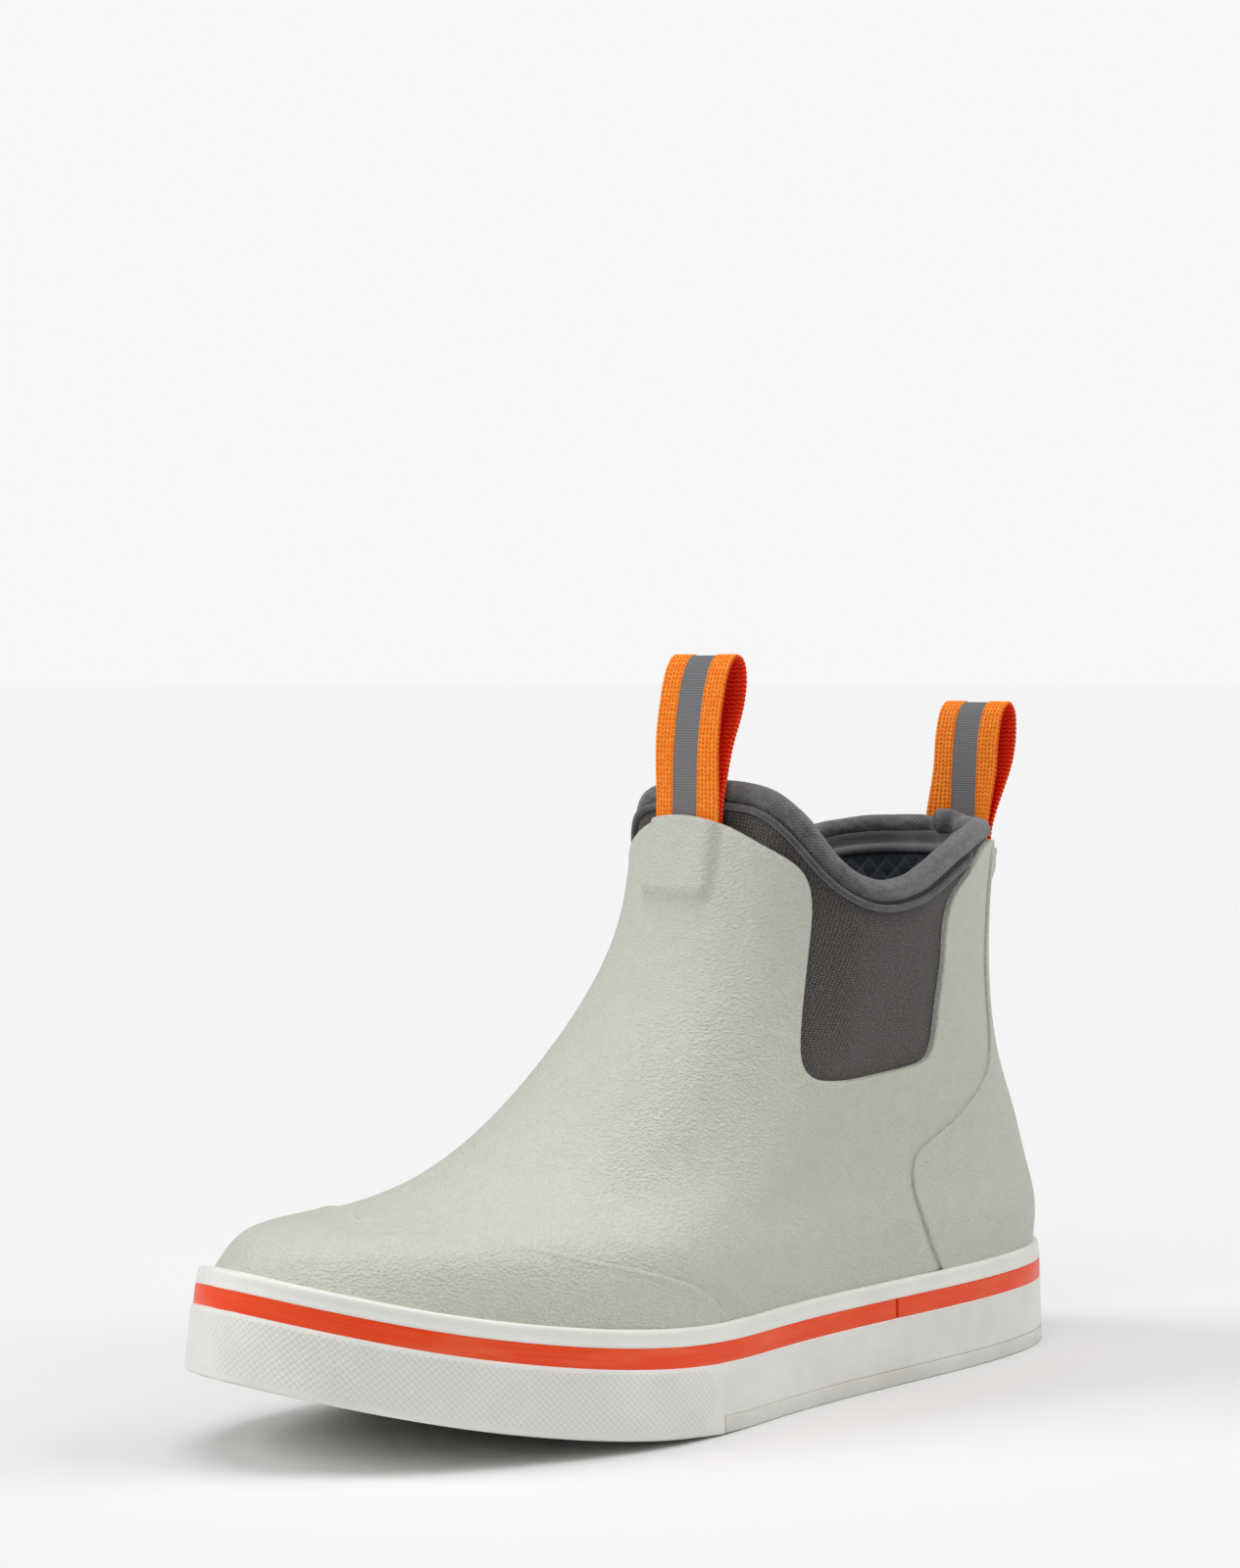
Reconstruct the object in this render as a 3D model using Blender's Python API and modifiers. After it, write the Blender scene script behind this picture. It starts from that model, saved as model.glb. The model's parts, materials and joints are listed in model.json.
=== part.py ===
"""Ankle deck boot for the left foot, built as separate pieces: rubber upper, neoprene bootie,
quilted lining, vulcanised sole stack, collar trim and two webbing pull tabs that hinge.

Frame: +X towards the toe, +Y towards the outer side of the foot, +Z up, ground at z = 0.
Lengths in the tables below are millimetres; MM turns them into Blender's metres.

The upper is a loft of tilted rings. A point on it has two coordinates: t, the angle round the
leg (0 at the front, 180 at the back, positive on the outer side), and q, the height from the
line where the sole wall starts (0) to above the collar (1). Every layer is that loft moved
along its normals, so the layers nest with one clearance all over.
"""

import math

import bmesh
import bpy
import numpy as np
from mathutils import Vector

MM = 0.001
GAP = 0.3

# Sole outline at the ground, toe at +X, counter-clockwise from the heel.
SOLE_OUTLINE = [
    (-149.8, 0), (-137.4, 21.3), (-111.3, 32.8), (-60.1, 39.8), (-0.5, 47.4), (49.8, 55.4),
    (91.4, 46.7), (127.2, 30.2), (150.3, -7.9), (141.3, -33.3), (111.9, -47.5), (66, -52.1),
    (10, -44), (-50, -36), (-108, -36), (-139, -25),
]
FEATHER_INSET = 3.5
TOE_SPRING = 22.3
SPRING_START = 8.0
TOE_X = 150.0

# Rings of the upper: front x and z, back x and z, share of the sole's width,
# share of the leg's oval, and the oval's half width.
RINGS = [
    (142.0, 50.0, -147.0, 29, 1.000, 0.00, 40.0),
    (131.0, 59.2, -148.0, 42, 0.975, 0.00, 40.0),
    (110.8, 60.0, -144.6, 56, 0.890, 0.03, 40.0),
    (83.0, 61.8, -139.7, 71, 0.830, 0.12, 39.5),
    (54.0, 74.6, -133.0, 87, 0.780, 0.30, 40.0),
    (25.2, 98.0, -128.2, 107, 0.760, 0.55, 39.0),
    (1.8, 128.0, -126.6, 132, 0.770, 0.85, 40.0),
    (-7.2, 161.0, -127.4, 158, 0.770, 1.00, 43.3),
    (-12.7, 194.0, -130.4, 184, 0.770, 1.00, 43.4),
]
OVAL_POWER = 0.87
OVAL_FRONT_SHARE = 0.28
SAG_END = 0.45

# Where the columns and rows of the loft lie.
HALF_ANGLES = [
    0, 5.6, 11.2, 15, 23, 33, 44, 55, 64, 70, 79, 88, 100, 112, 124, 134, 143, 152, 158.5, 169,
    180,
]
MIDFOOT_TURN = 88
CORNER_TURNS = [0, 45, 90]
LOWER_ROWS = [0, 0.035, 0.08, 0.14, 0.21, 0.3, 0.4, 0.5, 0.6, 0.69]
TOP_SHARES = [0.36, 0.42, 0.7, 0.87, 1.0]
FIRST_LOFT_ROW = len(CORNER_TURNS)
FIRST_TOP_ROW = FIRST_LOFT_ROW + len(LOWER_ROWS)

# Heights above the bent bottom of the sole.
OUTSOLE_TOP = 4.5
MIDSOLE_TOP = 10.0
UPPER_BOTTOM = 10.3
FEATHER_RADIUS = 12.0
FOXING_HEIGHT = [(-150, 30.0), (60, 29.0), (150, 27.5)]

# Layers of the upper, measured inwards from its outer face.
SHELL = 2.0
NEOPRENE = 3.5
LINING = 1.8
OVERLAY = 1.0
OVERLAY_FALL = 8.0
BOOTIE_DEPTH = SHELL + GAP
LINING_DEPTH = BOOTIE_DEPTH + NEOPRENE + GAP
INSIDE_DEPTH = LINING_DEPTH + LINING
LAYER_MIDDLE = (BOOTIE_DEPTH + INSIDE_DEPTH) / 2

# Sole wall: the base tape is recessed for the stripe and for the lower wall.
WALL = 3.0
STRIPE_RECESS = 1.2
LOWER_RECESS = 1.8
STRIPE_SHARES = (0.65, 0.84)
BUMPER_END = 79.0
REAR_WALL_START = 79.7
STRIPE_LAP = 111.0
STRIPE_LAP_GAP = 0.6

# Tread grooves.
GROOVE_PITCH = 13.0
GROOVE_WIDTH = 1.5
GROOVE_DEPTH = 1.5
GROOVE_ZIGZAG = 3.0
GROOVE_STEP = 11.0
GROOVE_MARGIN = 8.0
GROOVE_X = (-136.5, 123.5)

# Collar: height of the seam under the binding, by angle.
SEAM_HEIGHT = [
    (0, 167.2), (13, 166.6), (25, 164.0), (33, 159.5), (40, 154.1), (50, 146.3), (59, 141.3),
    (69, 137.9), (79, 137.1), (90, 138.9), (104, 145.0), (125, 151.0), (150, 152.4), (180, 152.4),
]
BOOTIE_EDGE = 0.5
BINDING_RADIUS = 3.0
BINDING_RISE = 3.9
BINDING_START = -167.0
BINDING_END = 188.0
BINDING_STEP = 7.1
BINDING_END_RISE = 1.5
PIPING_RADIUS = 1.0
PIPING_END = 121.0
FACING = 0.8
FACING_ROWS = 3

# Side view (x, z) of the rubber's upper edge, from the front top round the elastic window.
RUBBER_EDGE = [
    (15, 162), (-7, 161.6), (-8.6, 158.4), (-11, 155.2), (-15.5, 151), (-19.4, 146.6),
    (-21.2, 139), (-20.5, 128.6), (-18, 115.6), (-15.1, 103.7), (-14.1, 96.5), (-15.6, 92),
    (-20, 89.2), (-30, 87.7), (-53, 87.8), (-71.6, 88.9), (-77.4, 91), (-79.8, 96), (-81.2, 107),
    (-81.3, 120.3), (-79.4, 131), (-81.5, 136.5), (-91, 143.4), (-101, 149.8), (-106, 151.5),
    (-150, 151.5),
]
TOE_CAP_EDGE = [
    (22.9, 29), (28.1, 33.7), (33, 37.7), (44.2, 42.7), (58.7, 47.3), (68.5, 50), (82, 53.7),
    (91.7, 55.9), (104, 58.8), (114, 62.5),
]
COUNTER_EDGE = [
    (-78.8, 29), (-72.5, 39.5), (-68.6, 49.8), (-68.2, 57.8), (-71.2, 63.2), (-77.7, 66.2),
    (-89.2, 70.5), (-102.4, 76.9), (-110.8, 82.6), (-114.1, 87), (-116.7, 97.9), (-115.1, 108.2),
    (-112.8, 122.6), (-113.5, 133.3), (-114, 146.5),
]
POCKET_RISE = 2.6
POCKET_FRONT, POCKET_FRONT_SHARE = 12.0, 0.4
POCKET_BACK, POCKET_BACK_SHARE = 155.0, 0.5

# Pull tabs: webbing loops on a hinge just above the rubber's edge.
WEBBING_WIDTH = 25.4
WEBBING = 1.15
PIVOT_RISE = 2.0
PIVOT_DEPTH = 0.85
TAIL_BOTTOM = {"front": 145.0, "rear": 143.0}
TAIL_GAP = 0.8
TAIL = 1.8
TAIL_WIDTH = 24.6
RUBBER_TOP = {"front": 161.7, "rear": 151.5}
TAB_STRIPE_WIDTH = 10.2
TAB_STRIPE = 0.5
DENT_FRONT = 2.6
DENT_BACK = 3.0
STRIPE_START = {"front": 1, "rear": 2}
LOOP_SIDE = {
    "front": [
        (0.575, 0), (0.5, 8), (0.2, 16), (-0.6, 24), (-1.8, 31), (-3.4, 37.5), (-5.2, 41.5),
        (-7.3, 43.4), (-9.3, 42.6), (-10.6, 39.5), (-10.9, 36), (-10.5, 32), (-8.7, 26),
        (-6.4, 20.5), (-4.4, 15), (-2.5, 8.8), (-1.0, 3.5), (-0.575, 0),
    ],
    "rear": [
        (0.575, 0), (0.45, 10), (0.2, 20), (-0.3, 28), (-1.6, 34.5), (-3.6, 38.6),
        (-5.8, 39.6), (-7.6, 37.9), (-8.4, 33.5), (-8.2, 28.5), (-7.0, 22.5), (-5.0, 16),
        (-3.0, 9.5), (-1.4, 4), (-0.575, 0),
    ],
}

# Footbed, drawn in at the toe where the upper leans over it.
FOOTBED_BOTTOM = UPPER_BOTTOM + INSIDE_DEPTH + GAP
FOOTBED = 4.5
COVER = 0.8
TOE_INSET = 7.0
TOE_INSET_X = (30.0, 110.0)


def material(name, colour, roughness):
    made = bpy.data.materials.new(name)
    made.use_nodes = True
    shader = made.node_tree.nodes["Principled BSDF"]
    shader.inputs["Base Color"].default_value = (*colour, 1)
    shader.inputs["Roughness"].default_value = roughness
    shader.inputs["Metallic"].default_value = 0
    return made


def new_object(name, mesh, parts, finish):
    made = bpy.data.objects.new(name, mesh)
    parts.objects.link(made)
    mesh.materials.append(finish)
    mesh.shade_smooth()
    mesh.set_sharp_from_angle(angle=math.radians(35))
    return made


def spline(knots, values):
    """Natural cubic spline through the values at the knots, as a function."""
    knots = np.asarray(knots, float)
    values = np.asarray(values, float)
    steps = np.diff(knots)
    count = len(knots)
    system = np.eye(count)
    right = np.zeros(values.shape)
    for i in range(1, count - 1):
        system[i, i - 1 : i + 2] = steps[i - 1], 2 * (steps[i - 1] + steps[i]), steps[i]
        rise = (values[i + 1] - values[i]) / steps[i]
        right[i] = 6 * (rise - (values[i] - values[i - 1]) / steps[i - 1])
    bend = np.linalg.solve(system, right)

    def at(x):
        x = np.asarray(x, float)
        i = np.clip(np.searchsorted(knots, x) - 1, 0, count - 2)
        width, run = steps[i], x - knots[i]
        if values.ndim > 1:
            width, run = width[..., None], run[..., None]
        slope = (values[i + 1] - values[i]) / width - width * (2 * bend[i] + bend[i + 1]) / 6
        cubic = (bend[i + 1] - bend[i]) / (6 * width)
        return values[i] + run * slope + run**2 * bend[i] / 2 + run**3 * cubic

    return at


def closed_curve(points, count):
    """Smooth closed curve through the points, as count points along it."""
    wrap = 3
    points = np.asarray(points, float)
    looped = np.vstack([points[-wrap:], points, points[: wrap + 1]])
    lengths = np.linalg.norm(np.diff(looped, axis=0), axis=1)
    along = np.concatenate([[0], np.cumsum(lengths)])
    start, end = along[wrap], along[wrap + len(points)]
    return spline(along, looped)(np.linspace(start, end, count, endpoint=False))


def outward(outline):
    """Unit normals of a closed counter-clockwise outline, pointing out."""
    run = np.roll(outline, -1, 0) - np.roll(outline, 1, 0)
    normals = np.stack([run[:, 1], -run[:, 0]], axis=1)
    normals /= np.linalg.norm(normals, axis=1)[:, None]
    centre = outline.mean(0)
    return normals if ((outline - centre) * normals).sum() > 0 else -normals


def smooth_step(x):
    x = np.clip(x, 0, 1)
    return x * x * (3 - 2 * x)


class Outline:
    """A closed outline seen from above, read by angle: x is the cosine of t along its length."""

    def __init__(self, points):
        front, back = points[:, 0].argmax(), points[:, 0].argmin()
        self.front, self.back = points[front, 0], points[back, 0]
        self.centre = (self.front + self.back) / 2
        self.half = (self.front - self.back) / 2
        count = len(points)
        ahead = [points[(front + k) % count] for k in range((back - front) % count + 1)]
        behind = [points[(front - k) % count] for k in range((front - back) % count + 1)]
        sides = sorted((np.array(ahead), np.array(behind)), key=lambda side: -side[:, 1].mean())
        self.outer, self.inner = (self.by_angle(side) for side in sides)

    def by_angle(self, side):
        cosine = np.clip((side[:, 0] - self.centre) / self.half, -1, 1)
        return np.arccos(cosine), side[:, 1]

    def middle_and_width(self, t):
        turn = np.abs((t + np.pi) % (2 * np.pi) - np.pi)
        outer = np.interp(turn, *self.outer)
        inner = np.interp(turn, *self.inner)
        return (outer + inner) / 2, (outer - inner) / 2

    def point(self, t):
        middle, width = self.middle_and_width(t)
        x = self.centre + self.half * np.cos(t)
        return np.stack([x, middle + np.sign(np.sin(t)) * width], axis=-1)


SOLE_CURVE = closed_curve(SOLE_OUTLINE, 2000)
SOLE = Outline(SOLE_CURVE)
FEATHER = Outline(SOLE_CURVE - outward(SOLE_CURVE) * FEATHER_INSET)
RING_AT = spline(np.linspace(0, 1, len(RINGS)), RINGS)
SEAM_AT = spline([a for a, _ in SEAM_HEIGHT], [h for _, h in SEAM_HEIGHT])
ANGLES = np.radians(HALF_ANGLES + [360 - a for a in HALF_ANGLES[-2:0:-1]])
COLUMNS = len(ANGLES)


def spring(x):
    """Rise of the sole's bottom towards the toe."""
    return TOE_SPRING * np.clip((x - SPRING_START) / (TOE_X - SPRING_START), 0, 1) ** 2


def foxing_top(x):
    places, heights = zip(*FOXING_HEIGHT)
    return spring(x) + np.interp(x, places, heights)


def upper_point(t, q):
    """Point of the upper's outer face."""
    t, q = np.broadcast_arrays(np.asarray(t, float), np.asarray(q, float))
    ring = RING_AT(q)
    along = np.cos(t)
    front, back = ring[..., 0:2], ring[..., 2:4]
    side = (front + back) / 2 + (front - back) / 2 * along[..., None]
    middle, width = FEATHER.middle_and_width(t)
    share, oval_share, oval_width = ring[..., 4], ring[..., 5], ring[..., 6]
    oval = oval_width * np.abs(np.sin(t)) ** OVAL_POWER * (1 + OVAL_FRONT_SHARE * along)
    half = (1 - oval_share) * width * share + oval_share * oval
    y = middle * (1 - oval_share) + np.sign(np.sin(t)) * half
    first = RING_AT(0.0)
    straight = first[3] + (first[1] - first[3]) * (along + 1) / 2
    sag = np.clip(1 - q / SAG_END, 0, 1) ** 2 * (foxing_top(side[..., 0]) - straight)
    return np.stack([side[..., 0], y, side[..., 1] + sag], axis=-1)


def q_at_height(t, height):
    """The q at which the column at angle t reaches that height."""
    low, high = np.zeros_like(t), np.ones_like(t)
    for _ in range(40):
        middle = (low + high) / 2
        below = upper_point(t, middle)[..., 2] < height
        low, high = np.where(below, middle, low), np.where(below, high, middle)
    return (low + high) / 2


def seam_height(t):
    return SEAM_AT(turn_from_front(t))


FOOT_LINE = upper_point(ANGLES, 0.0)[:, :2]
SOLE_LINE = SOLE.point(ANGLES)
WALL_TOP_LINE = FOOT_LINE + outward(FOOT_LINE) * WALL


def bent(outline, height):
    """The outline at that height above the bent bottom of the sole."""
    return np.column_stack([outline, spring(outline[:, 0]) + height])


def upper_rows():
    """Rows of points from under the foot, round the feather edge and up to the collar."""
    rows = []
    for turn in np.radians(CORNER_TURNS):
        inset = FEATHER_RADIUS * (1 - math.sin(turn))
        rise = FEATHER_RADIUS * (1 - math.cos(turn))
        outline = FOOT_LINE - outward(FOOT_LINE) * inset
        rows.append(bent(outline, UPPER_BOTTOM + rise))
    rows += [upper_point(ANGLES, q) for q in LOWER_ROWS]
    start, top = LOWER_ROWS[-1], q_at_height(ANGLES, seam_height(ANGLES) + BOOTIE_EDGE)
    rows += [upper_point(ANGLES, start + (top - start) * share) for share in TOP_SHARES]
    return np.array(rows)


def grid_mesh(name, rows, closed_bottom):
    """Mesh of a grid of rows that each run once round the boot."""
    count, columns = rows.shape[:2]
    faces = []
    for r in range(count - 1):
        for c in range(columns):
            d = (c + 1) % columns
            low, high = r * columns, (r + 1) * columns
            faces += [(low + c, low + d, high + d), (low + c, high + d, high + c)]
    if closed_bottom:
        faces.append((1, 0, columns - 1))
        faces += [(c + 1, c, columns - c, columns - c - 1) for c in range(1, columns // 2 - 1)]
        half = columns // 2
        faces.append((half, half - 1, half + 1))
    mesh = bpy.data.meshes.new(name)
    mesh.from_pydata((rows.reshape(-1, 3) * MM).tolist(), [], faces)
    mesh.update()
    return mesh


def row_normals(rows):
    mesh = grid_mesh("normals", rows, True)
    found = np.array([v.normal for v in mesh.vertices]).reshape(rows.shape)
    bpy.data.meshes.remove(mesh)
    return found


def overlay_share(points):
    """1 under the toe cap and the heel counter, falling to 0 past their edges."""
    x, z = points[..., 0], points[..., 2]
    cap_x, cap_z = zip(*TOE_CAP_EDGE)
    above_cap = np.where(x > cap_x[0], z - np.interp(x, cap_x, cap_z), cap_x[0] - x)
    beyond_cap = np.where(x > cap_x[-1], 0, above_cap)
    edge_x, edge_z = zip(*COUNTER_EDGE)
    ahead_of_counter = x - np.interp(z, edge_z, edge_x)
    apart = np.minimum(beyond_cap, ahead_of_counter)
    return 1 - smooth_step(apart / OVERLAY_FALL)


def layered():
    """The rows of the upper's outer face, sunk under the overlays, and their normals."""
    rows = upper_rows()
    share = overlay_share(rows)[..., None]
    share[:FIRST_LOFT_ROW] = 0
    rows = rows - row_normals(rows) * share * (OVERLAY + GAP)
    return rows, row_normals(rows)


def turn_from_front(angles):
    return np.degrees(np.abs((angles + np.pi) % (2 * np.pi) - np.pi))


def dented(rows, normals):
    """The rows pressed inwards behind the two pull tabs, near the collar's edge."""
    turn = turn_from_front(ANGLES)
    front = DENT_FRONT * smooth_step((30 - turn) / 14)
    back = DENT_BACK * smooth_step((turn - 140) / 18)
    under_edge = rows[-1, :, 2] - rows[..., 2]
    dent = (front + back) * smooth_step((17 - under_edge) / 10)
    return rows - normals * dent[..., None]


def bulged(rows, normals):
    """The rows raised over the two pockets that hold the webbing."""
    turn = turn_from_front(ANGLES)
    share = np.array([0] * FIRST_TOP_ROW + TOP_SHARES)[:, None]
    front = (turn < POCKET_FRONT) & (share > POCKET_FRONT_SHARE)
    back = (turn > POCKET_BACK) & (share > POCKET_BACK_SHARE)
    return rows + normals * (front | back)[..., None] * POCKET_RISE


def add_solidify(made, thickness):
    solidify = made.modifiers.new("Thickness", "SOLIDIFY")
    solidify.thickness = thickness * MM
    solidify.offset = -1
    solidify.use_even_offset = False


def add_boolean(made, operation, cutter):
    boolean = made.modifiers.new("Cut", "BOOLEAN")
    boolean.operation = operation
    boolean.solver = "EXACT"
    boolean.object = cutter


def baked(made):
    """The object with its modifiers applied."""
    graph = bpy.context.evaluated_depsgraph_get()
    graph.update()
    mesh = bpy.data.meshes.new_from_object(made.evaluated_get(graph))
    made.modifiers.clear()
    made.data = mesh
    return made


def smooth_path(points, spans):
    """Catmull-Rom curve through the points, with that many steps between two of them."""
    points = np.asarray(points, float)
    padded = np.vstack([2 * points[0] - points[1], points, 2 * points[-1] - points[-2]])
    made = []
    for i in range(1, len(padded) - 2):
        before, start, end, after = padded[i - 1 : i + 3]
        for u in np.arange(spans) / spans:
            linear, square, cubic = end - before, 2 * before - 5 * start + 4 * end - after, 0
            cubic = -before + 3 * start - 3 * end + after
            made.append(start + (linear * u + square * u**2 + cubic * u**3) / 2)
    made.append(points[-1])
    return np.array(made)


def prism(name, outline, cutters, half_width=90.0):
    """Cutter with that outline in side view (x, z), running right across the boot."""
    form = bmesh.new()
    low = [form.verts.new((x * MM, -half_width * MM, z * MM)) for x, z in outline]
    face = form.faces.new(low)
    extruded = bmesh.ops.extrude_face_region(form, geom=[face])["geom"]
    moved = [g for g in extruded if isinstance(g, bmesh.types.BMVert)]
    bmesh.ops.translate(form, verts=moved, vec=(0, 2 * half_width * MM, 0))
    bmesh.ops.recalc_face_normals(form, faces=form.faces)
    return cutter_object(name, form, cutters)


def cutter_object(name, form, cutters):
    mesh = bpy.data.meshes.new(name)
    form.to_mesh(mesh)
    form.free()
    made = bpy.data.objects.new(name, mesh)
    made.hide_render = True
    made.display_type = "WIRE"
    cutters.objects.link(made)
    return made


def slab(name, levels, parts, finish):
    """Solid with one outline at each level, low to high, closed by strips across the boot."""
    rows = np.array(levels)
    count, columns = rows.shape[:2]
    mesh = grid_mesh(name, rows, True)
    form = bmesh.new()
    form.from_mesh(mesh)
    form.verts.ensure_lookup_table()
    top = (count - 1) * columns
    half = columns // 2
    verts = form.verts
    form.faces.new([verts[top], verts[top + 1], verts[top + columns - 1]])
    form.faces.new([verts[top + half - 1], verts[top + half], verts[top + half + 1]])
    for c in range(1, half - 1):
        ring = (c, c + 1, columns - c - 1, columns - c)
        form.faces.new([verts[top + i] for i in ring])
    form.to_mesh(mesh)
    form.free()
    return new_object(name, mesh, parts, finish)


def ring_loft(name, sections, closed, parts, finish):
    """Solid swept through the sections, which all have the same number of corners."""
    form = bmesh.new()
    rings = [[form.verts.new(Vector(p) * MM) for p in section] for section in sections]
    pairs = list(zip(rings, rings[1:]))
    if closed:
        pairs.append((rings[-1], rings[0]))
    for near, far in pairs:
        for i in range(len(near)):
            j = (i + 1) % len(near)
            form.faces.new((near[i], near[j], far[j], far[i]))
    if not closed:
        form.faces.new(rings[0])
        form.faces.new(rings[-1])
    bmesh.ops.recalc_face_normals(form, faces=form.faces)
    mesh = bpy.data.meshes.new(name)
    form.to_mesh(mesh)
    form.free()
    return new_object(name, mesh, parts, finish)


def line_at(line, t):
    """Point on a closed line of one point per column, straight between the columns."""
    ends = np.concatenate([ANGLES, [2 * np.pi]])
    closed = np.vstack([line, line[:1]])
    turn = t % (2 * np.pi)
    return np.array([np.interp(turn, ends, closed[:, k]) for k in range(closed.shape[1])])


def wall_section(t, corners):
    """Section of the sole wall at angle t: each corner is a depth from the wall's outer face
    and a height, or None as depth for the inner face."""
    low, high, inner = (line_at(line, t) for line in (SOLE_LINE, WALL_TOP_LINE, FOOT_LINE))
    into = (inner - high) / np.linalg.norm(inner - high)
    clear = inner - into * GAP
    section = []
    for depth, height in corners(foxing_top(inner[0]) - spring(inner[0])):
        top = foxing_top(inner[0]) - spring(inner[0])
        outer = low + (high - low) * height / top
        place = clear if depth is None else outer + into * depth
        section.append((*place, spring(place[0]) + height))
    return section


def wall_angles(start, end):
    """start, end and the columns between them, in radians."""
    turns = np.concatenate([ANGLES - 2 * np.pi, ANGLES])
    start, end = math.radians(start), math.radians(end)
    return [start, *[t for t in turns if start + 1e-3 < t < end - 1e-3], end]


def foxing_corners(top):
    stripe_low, stripe_high = (share * top for share in STRIPE_SHARES)
    return [
        (None, OUTSOLE_TOP + GAP), (LOWER_RECESS, OUTSOLE_TOP + GAP), (LOWER_RECESS, stripe_low),
        (STRIPE_RECESS, stripe_low), (STRIPE_RECESS, stripe_high), (0, stripe_high),
        (0, top - 0.8), (0.8, top), (None, top),
    ]


def stripe_corners(top):
    low, high = STRIPE_SHARES[0] * top + GAP, STRIPE_SHARES[1] * top - GAP
    depth = STRIPE_RECESS - GAP
    return [(depth, low), (-0.1, low), (-0.1, high), (depth, high)]


def bumper_corners(top):
    high = STRIPE_SHARES[0] * top - GAP
    depth = LOWER_RECESS - GAP
    return [(depth, 0), (0.9, 0), (0, 1.0), (0, high), (depth, high)]


def rear_wall_corners(top):
    low, high = OUTSOLE_TOP + GAP, STRIPE_SHARES[0] * top - GAP
    depth = LOWER_RECESS - GAP
    return [(depth, low), (0, low), (0, high), (depth, high)]


def make_sole_wall(parts, finishes):
    full = [wall_section(t, foxing_corners) for t in ANGLES]
    ring_loft("foxing_tape", full, True, parts, finishes["foxing"])
    lap = STRIPE_LAP + STRIPE_LAP_GAP
    pieces = (
        ("toe_bumper", -BUMPER_END, BUMPER_END, bumper_corners, "bumper"),
        ("rear_side_wall", REAR_WALL_START - 360, -REAR_WALL_START, rear_wall_corners, "foxing"),
        ("stripe_tape", lap - 360, STRIPE_LAP, stripe_corners, "stripe"),
    )
    for name, start, end, corners, finish in pieces:
        sections = [wall_section(t, corners) for t in wall_angles(start, end)]
        ring_loft(name, sections, False, parts, finishes[finish])


def groove_cutter(cutters):
    """Zigzag grooves across the tread, as one mesh of separate prisms."""
    form = bmesh.new()
    lines = int(round((GROOVE_X[1] - GROOVE_X[0]) / GROOVE_PITCH)) + 1
    for x in np.linspace(*GROOVE_X, lines):
        turn = math.acos(np.clip((x - SOLE.centre) / SOLE.half, -1, 1))
        middle, width = SOLE.middle_and_width(turn)
        reach = width - GROOVE_MARGIN
        steps = max(2, int(2 * reach / GROOVE_STEP))
        across = np.linspace(middle - reach, middle + reach, steps + 1)
        bend = np.array([GROOVE_ZIGZAG * (k % 2 - 0.5) for k in range(steps + 1)])
        edges = [[(x + b + side, y) for b, y in zip(bend, across)]
                 for side in (-GROOVE_WIDTH / 2, GROOVE_WIDTH / 2)]
        outline = edges[0] + edges[1][::-1]
        low = [form.verts.new((px * MM, py * MM, -GROOVE_DEPTH * MM)) for px, py in outline]
        face = form.faces.new(low)
        extruded = bmesh.ops.extrude_face_region(form, geom=[face])["geom"]
        moved = [g for g in extruded if isinstance(g, bmesh.types.BMVert)]
        bmesh.ops.translate(form, verts=moved, vec=(0, 0, 2 * GROOVE_DEPTH * MM))
    bmesh.ops.recalc_face_normals(form, faces=form.faces)
    return cutter_object("groove_cutter", form, cutters)


def wall_outline(height, depth):
    """Closed line at that height on the sole wall, that far in from its outer face."""
    top = (foxing_top(FOOT_LINE[:, 0]) - spring(FOOT_LINE[:, 0]))[:, None]
    outer = SOLE_LINE + (WALL_TOP_LINE - SOLE_LINE) * height / top
    return outer - outward(outer) * depth


def make_outsole(parts, cutters, finish):
    """Tread plate, cut flat and then bent up at the toe. Its edge shows behind the bumper."""
    behind_bumper = turn_from_front(ANGLES) <= BUMPER_END + 1
    inset = np.where(behind_bumper, LOWER_RECESS, 0)[:, None]
    flat = [np.column_stack([wall_outline(h, inset), np.full(COLUMNS, h)])
            for h in (0.0, OUTSOLE_TOP)]
    made = slab("outsole", flat, parts, finish)
    add_boolean(made, "DIFFERENCE", groove_cutter(cutters))
    baked(made)
    stations = np.sort(flat[0][: COLUMNS // 2 + 1, 0])
    for vertex in made.data.vertices:
        vertex.co.z += np.interp(vertex.co.x / MM, stations, spring(stations)) * MM


def make_sole_fill(parts, finishes):
    deep = FOOT_LINE - outward(FOOT_LINE) * 0.2
    slab("midsole", [bent(deep, OUTSOLE_TOP + GAP), bent(deep, MIDSOLE_TOP)], parts,
         finishes["midsole"])
    inner = FOOT_LINE - outward(FOOT_LINE) * (FEATHER_RADIUS + 1.2)
    slab("insole_board", [bent(inner, MIDSOLE_TOP + GAP),
                          bent(inner, UPPER_BOTTOM + BOOTIE_DEPTH - GAP)], parts,
         finishes["board"])


def make_footbed(parts, finishes):
    """Foam footbed with its fabric cover."""
    start, end = TOE_INSET_X
    toe = TOE_INSET * smooth_step((FOOT_LINE[:, :1] - start) / (end - start))
    levels = ((6.1, 0), (2.0, 1.6), (0.9, FOOTBED))
    rows = [bent(FOOT_LINE - outward(FOOT_LINE) * (INSIDE_DEPTH + inset + toe),
                 FOOTBED_BOTTOM + h) for inset, h in levels]
    slab("footbed", rows, parts, finishes["footbed"])
    outline = FOOT_LINE - outward(FOOT_LINE) * (INSIDE_DEPTH + 1.2 + toe)
    low = FOOTBED_BOTTOM + FOOTBED + GAP
    slab("footbed_cover", [bent(outline, low), bent(outline, low + COVER)], parts,
         finishes["cover"])


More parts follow.
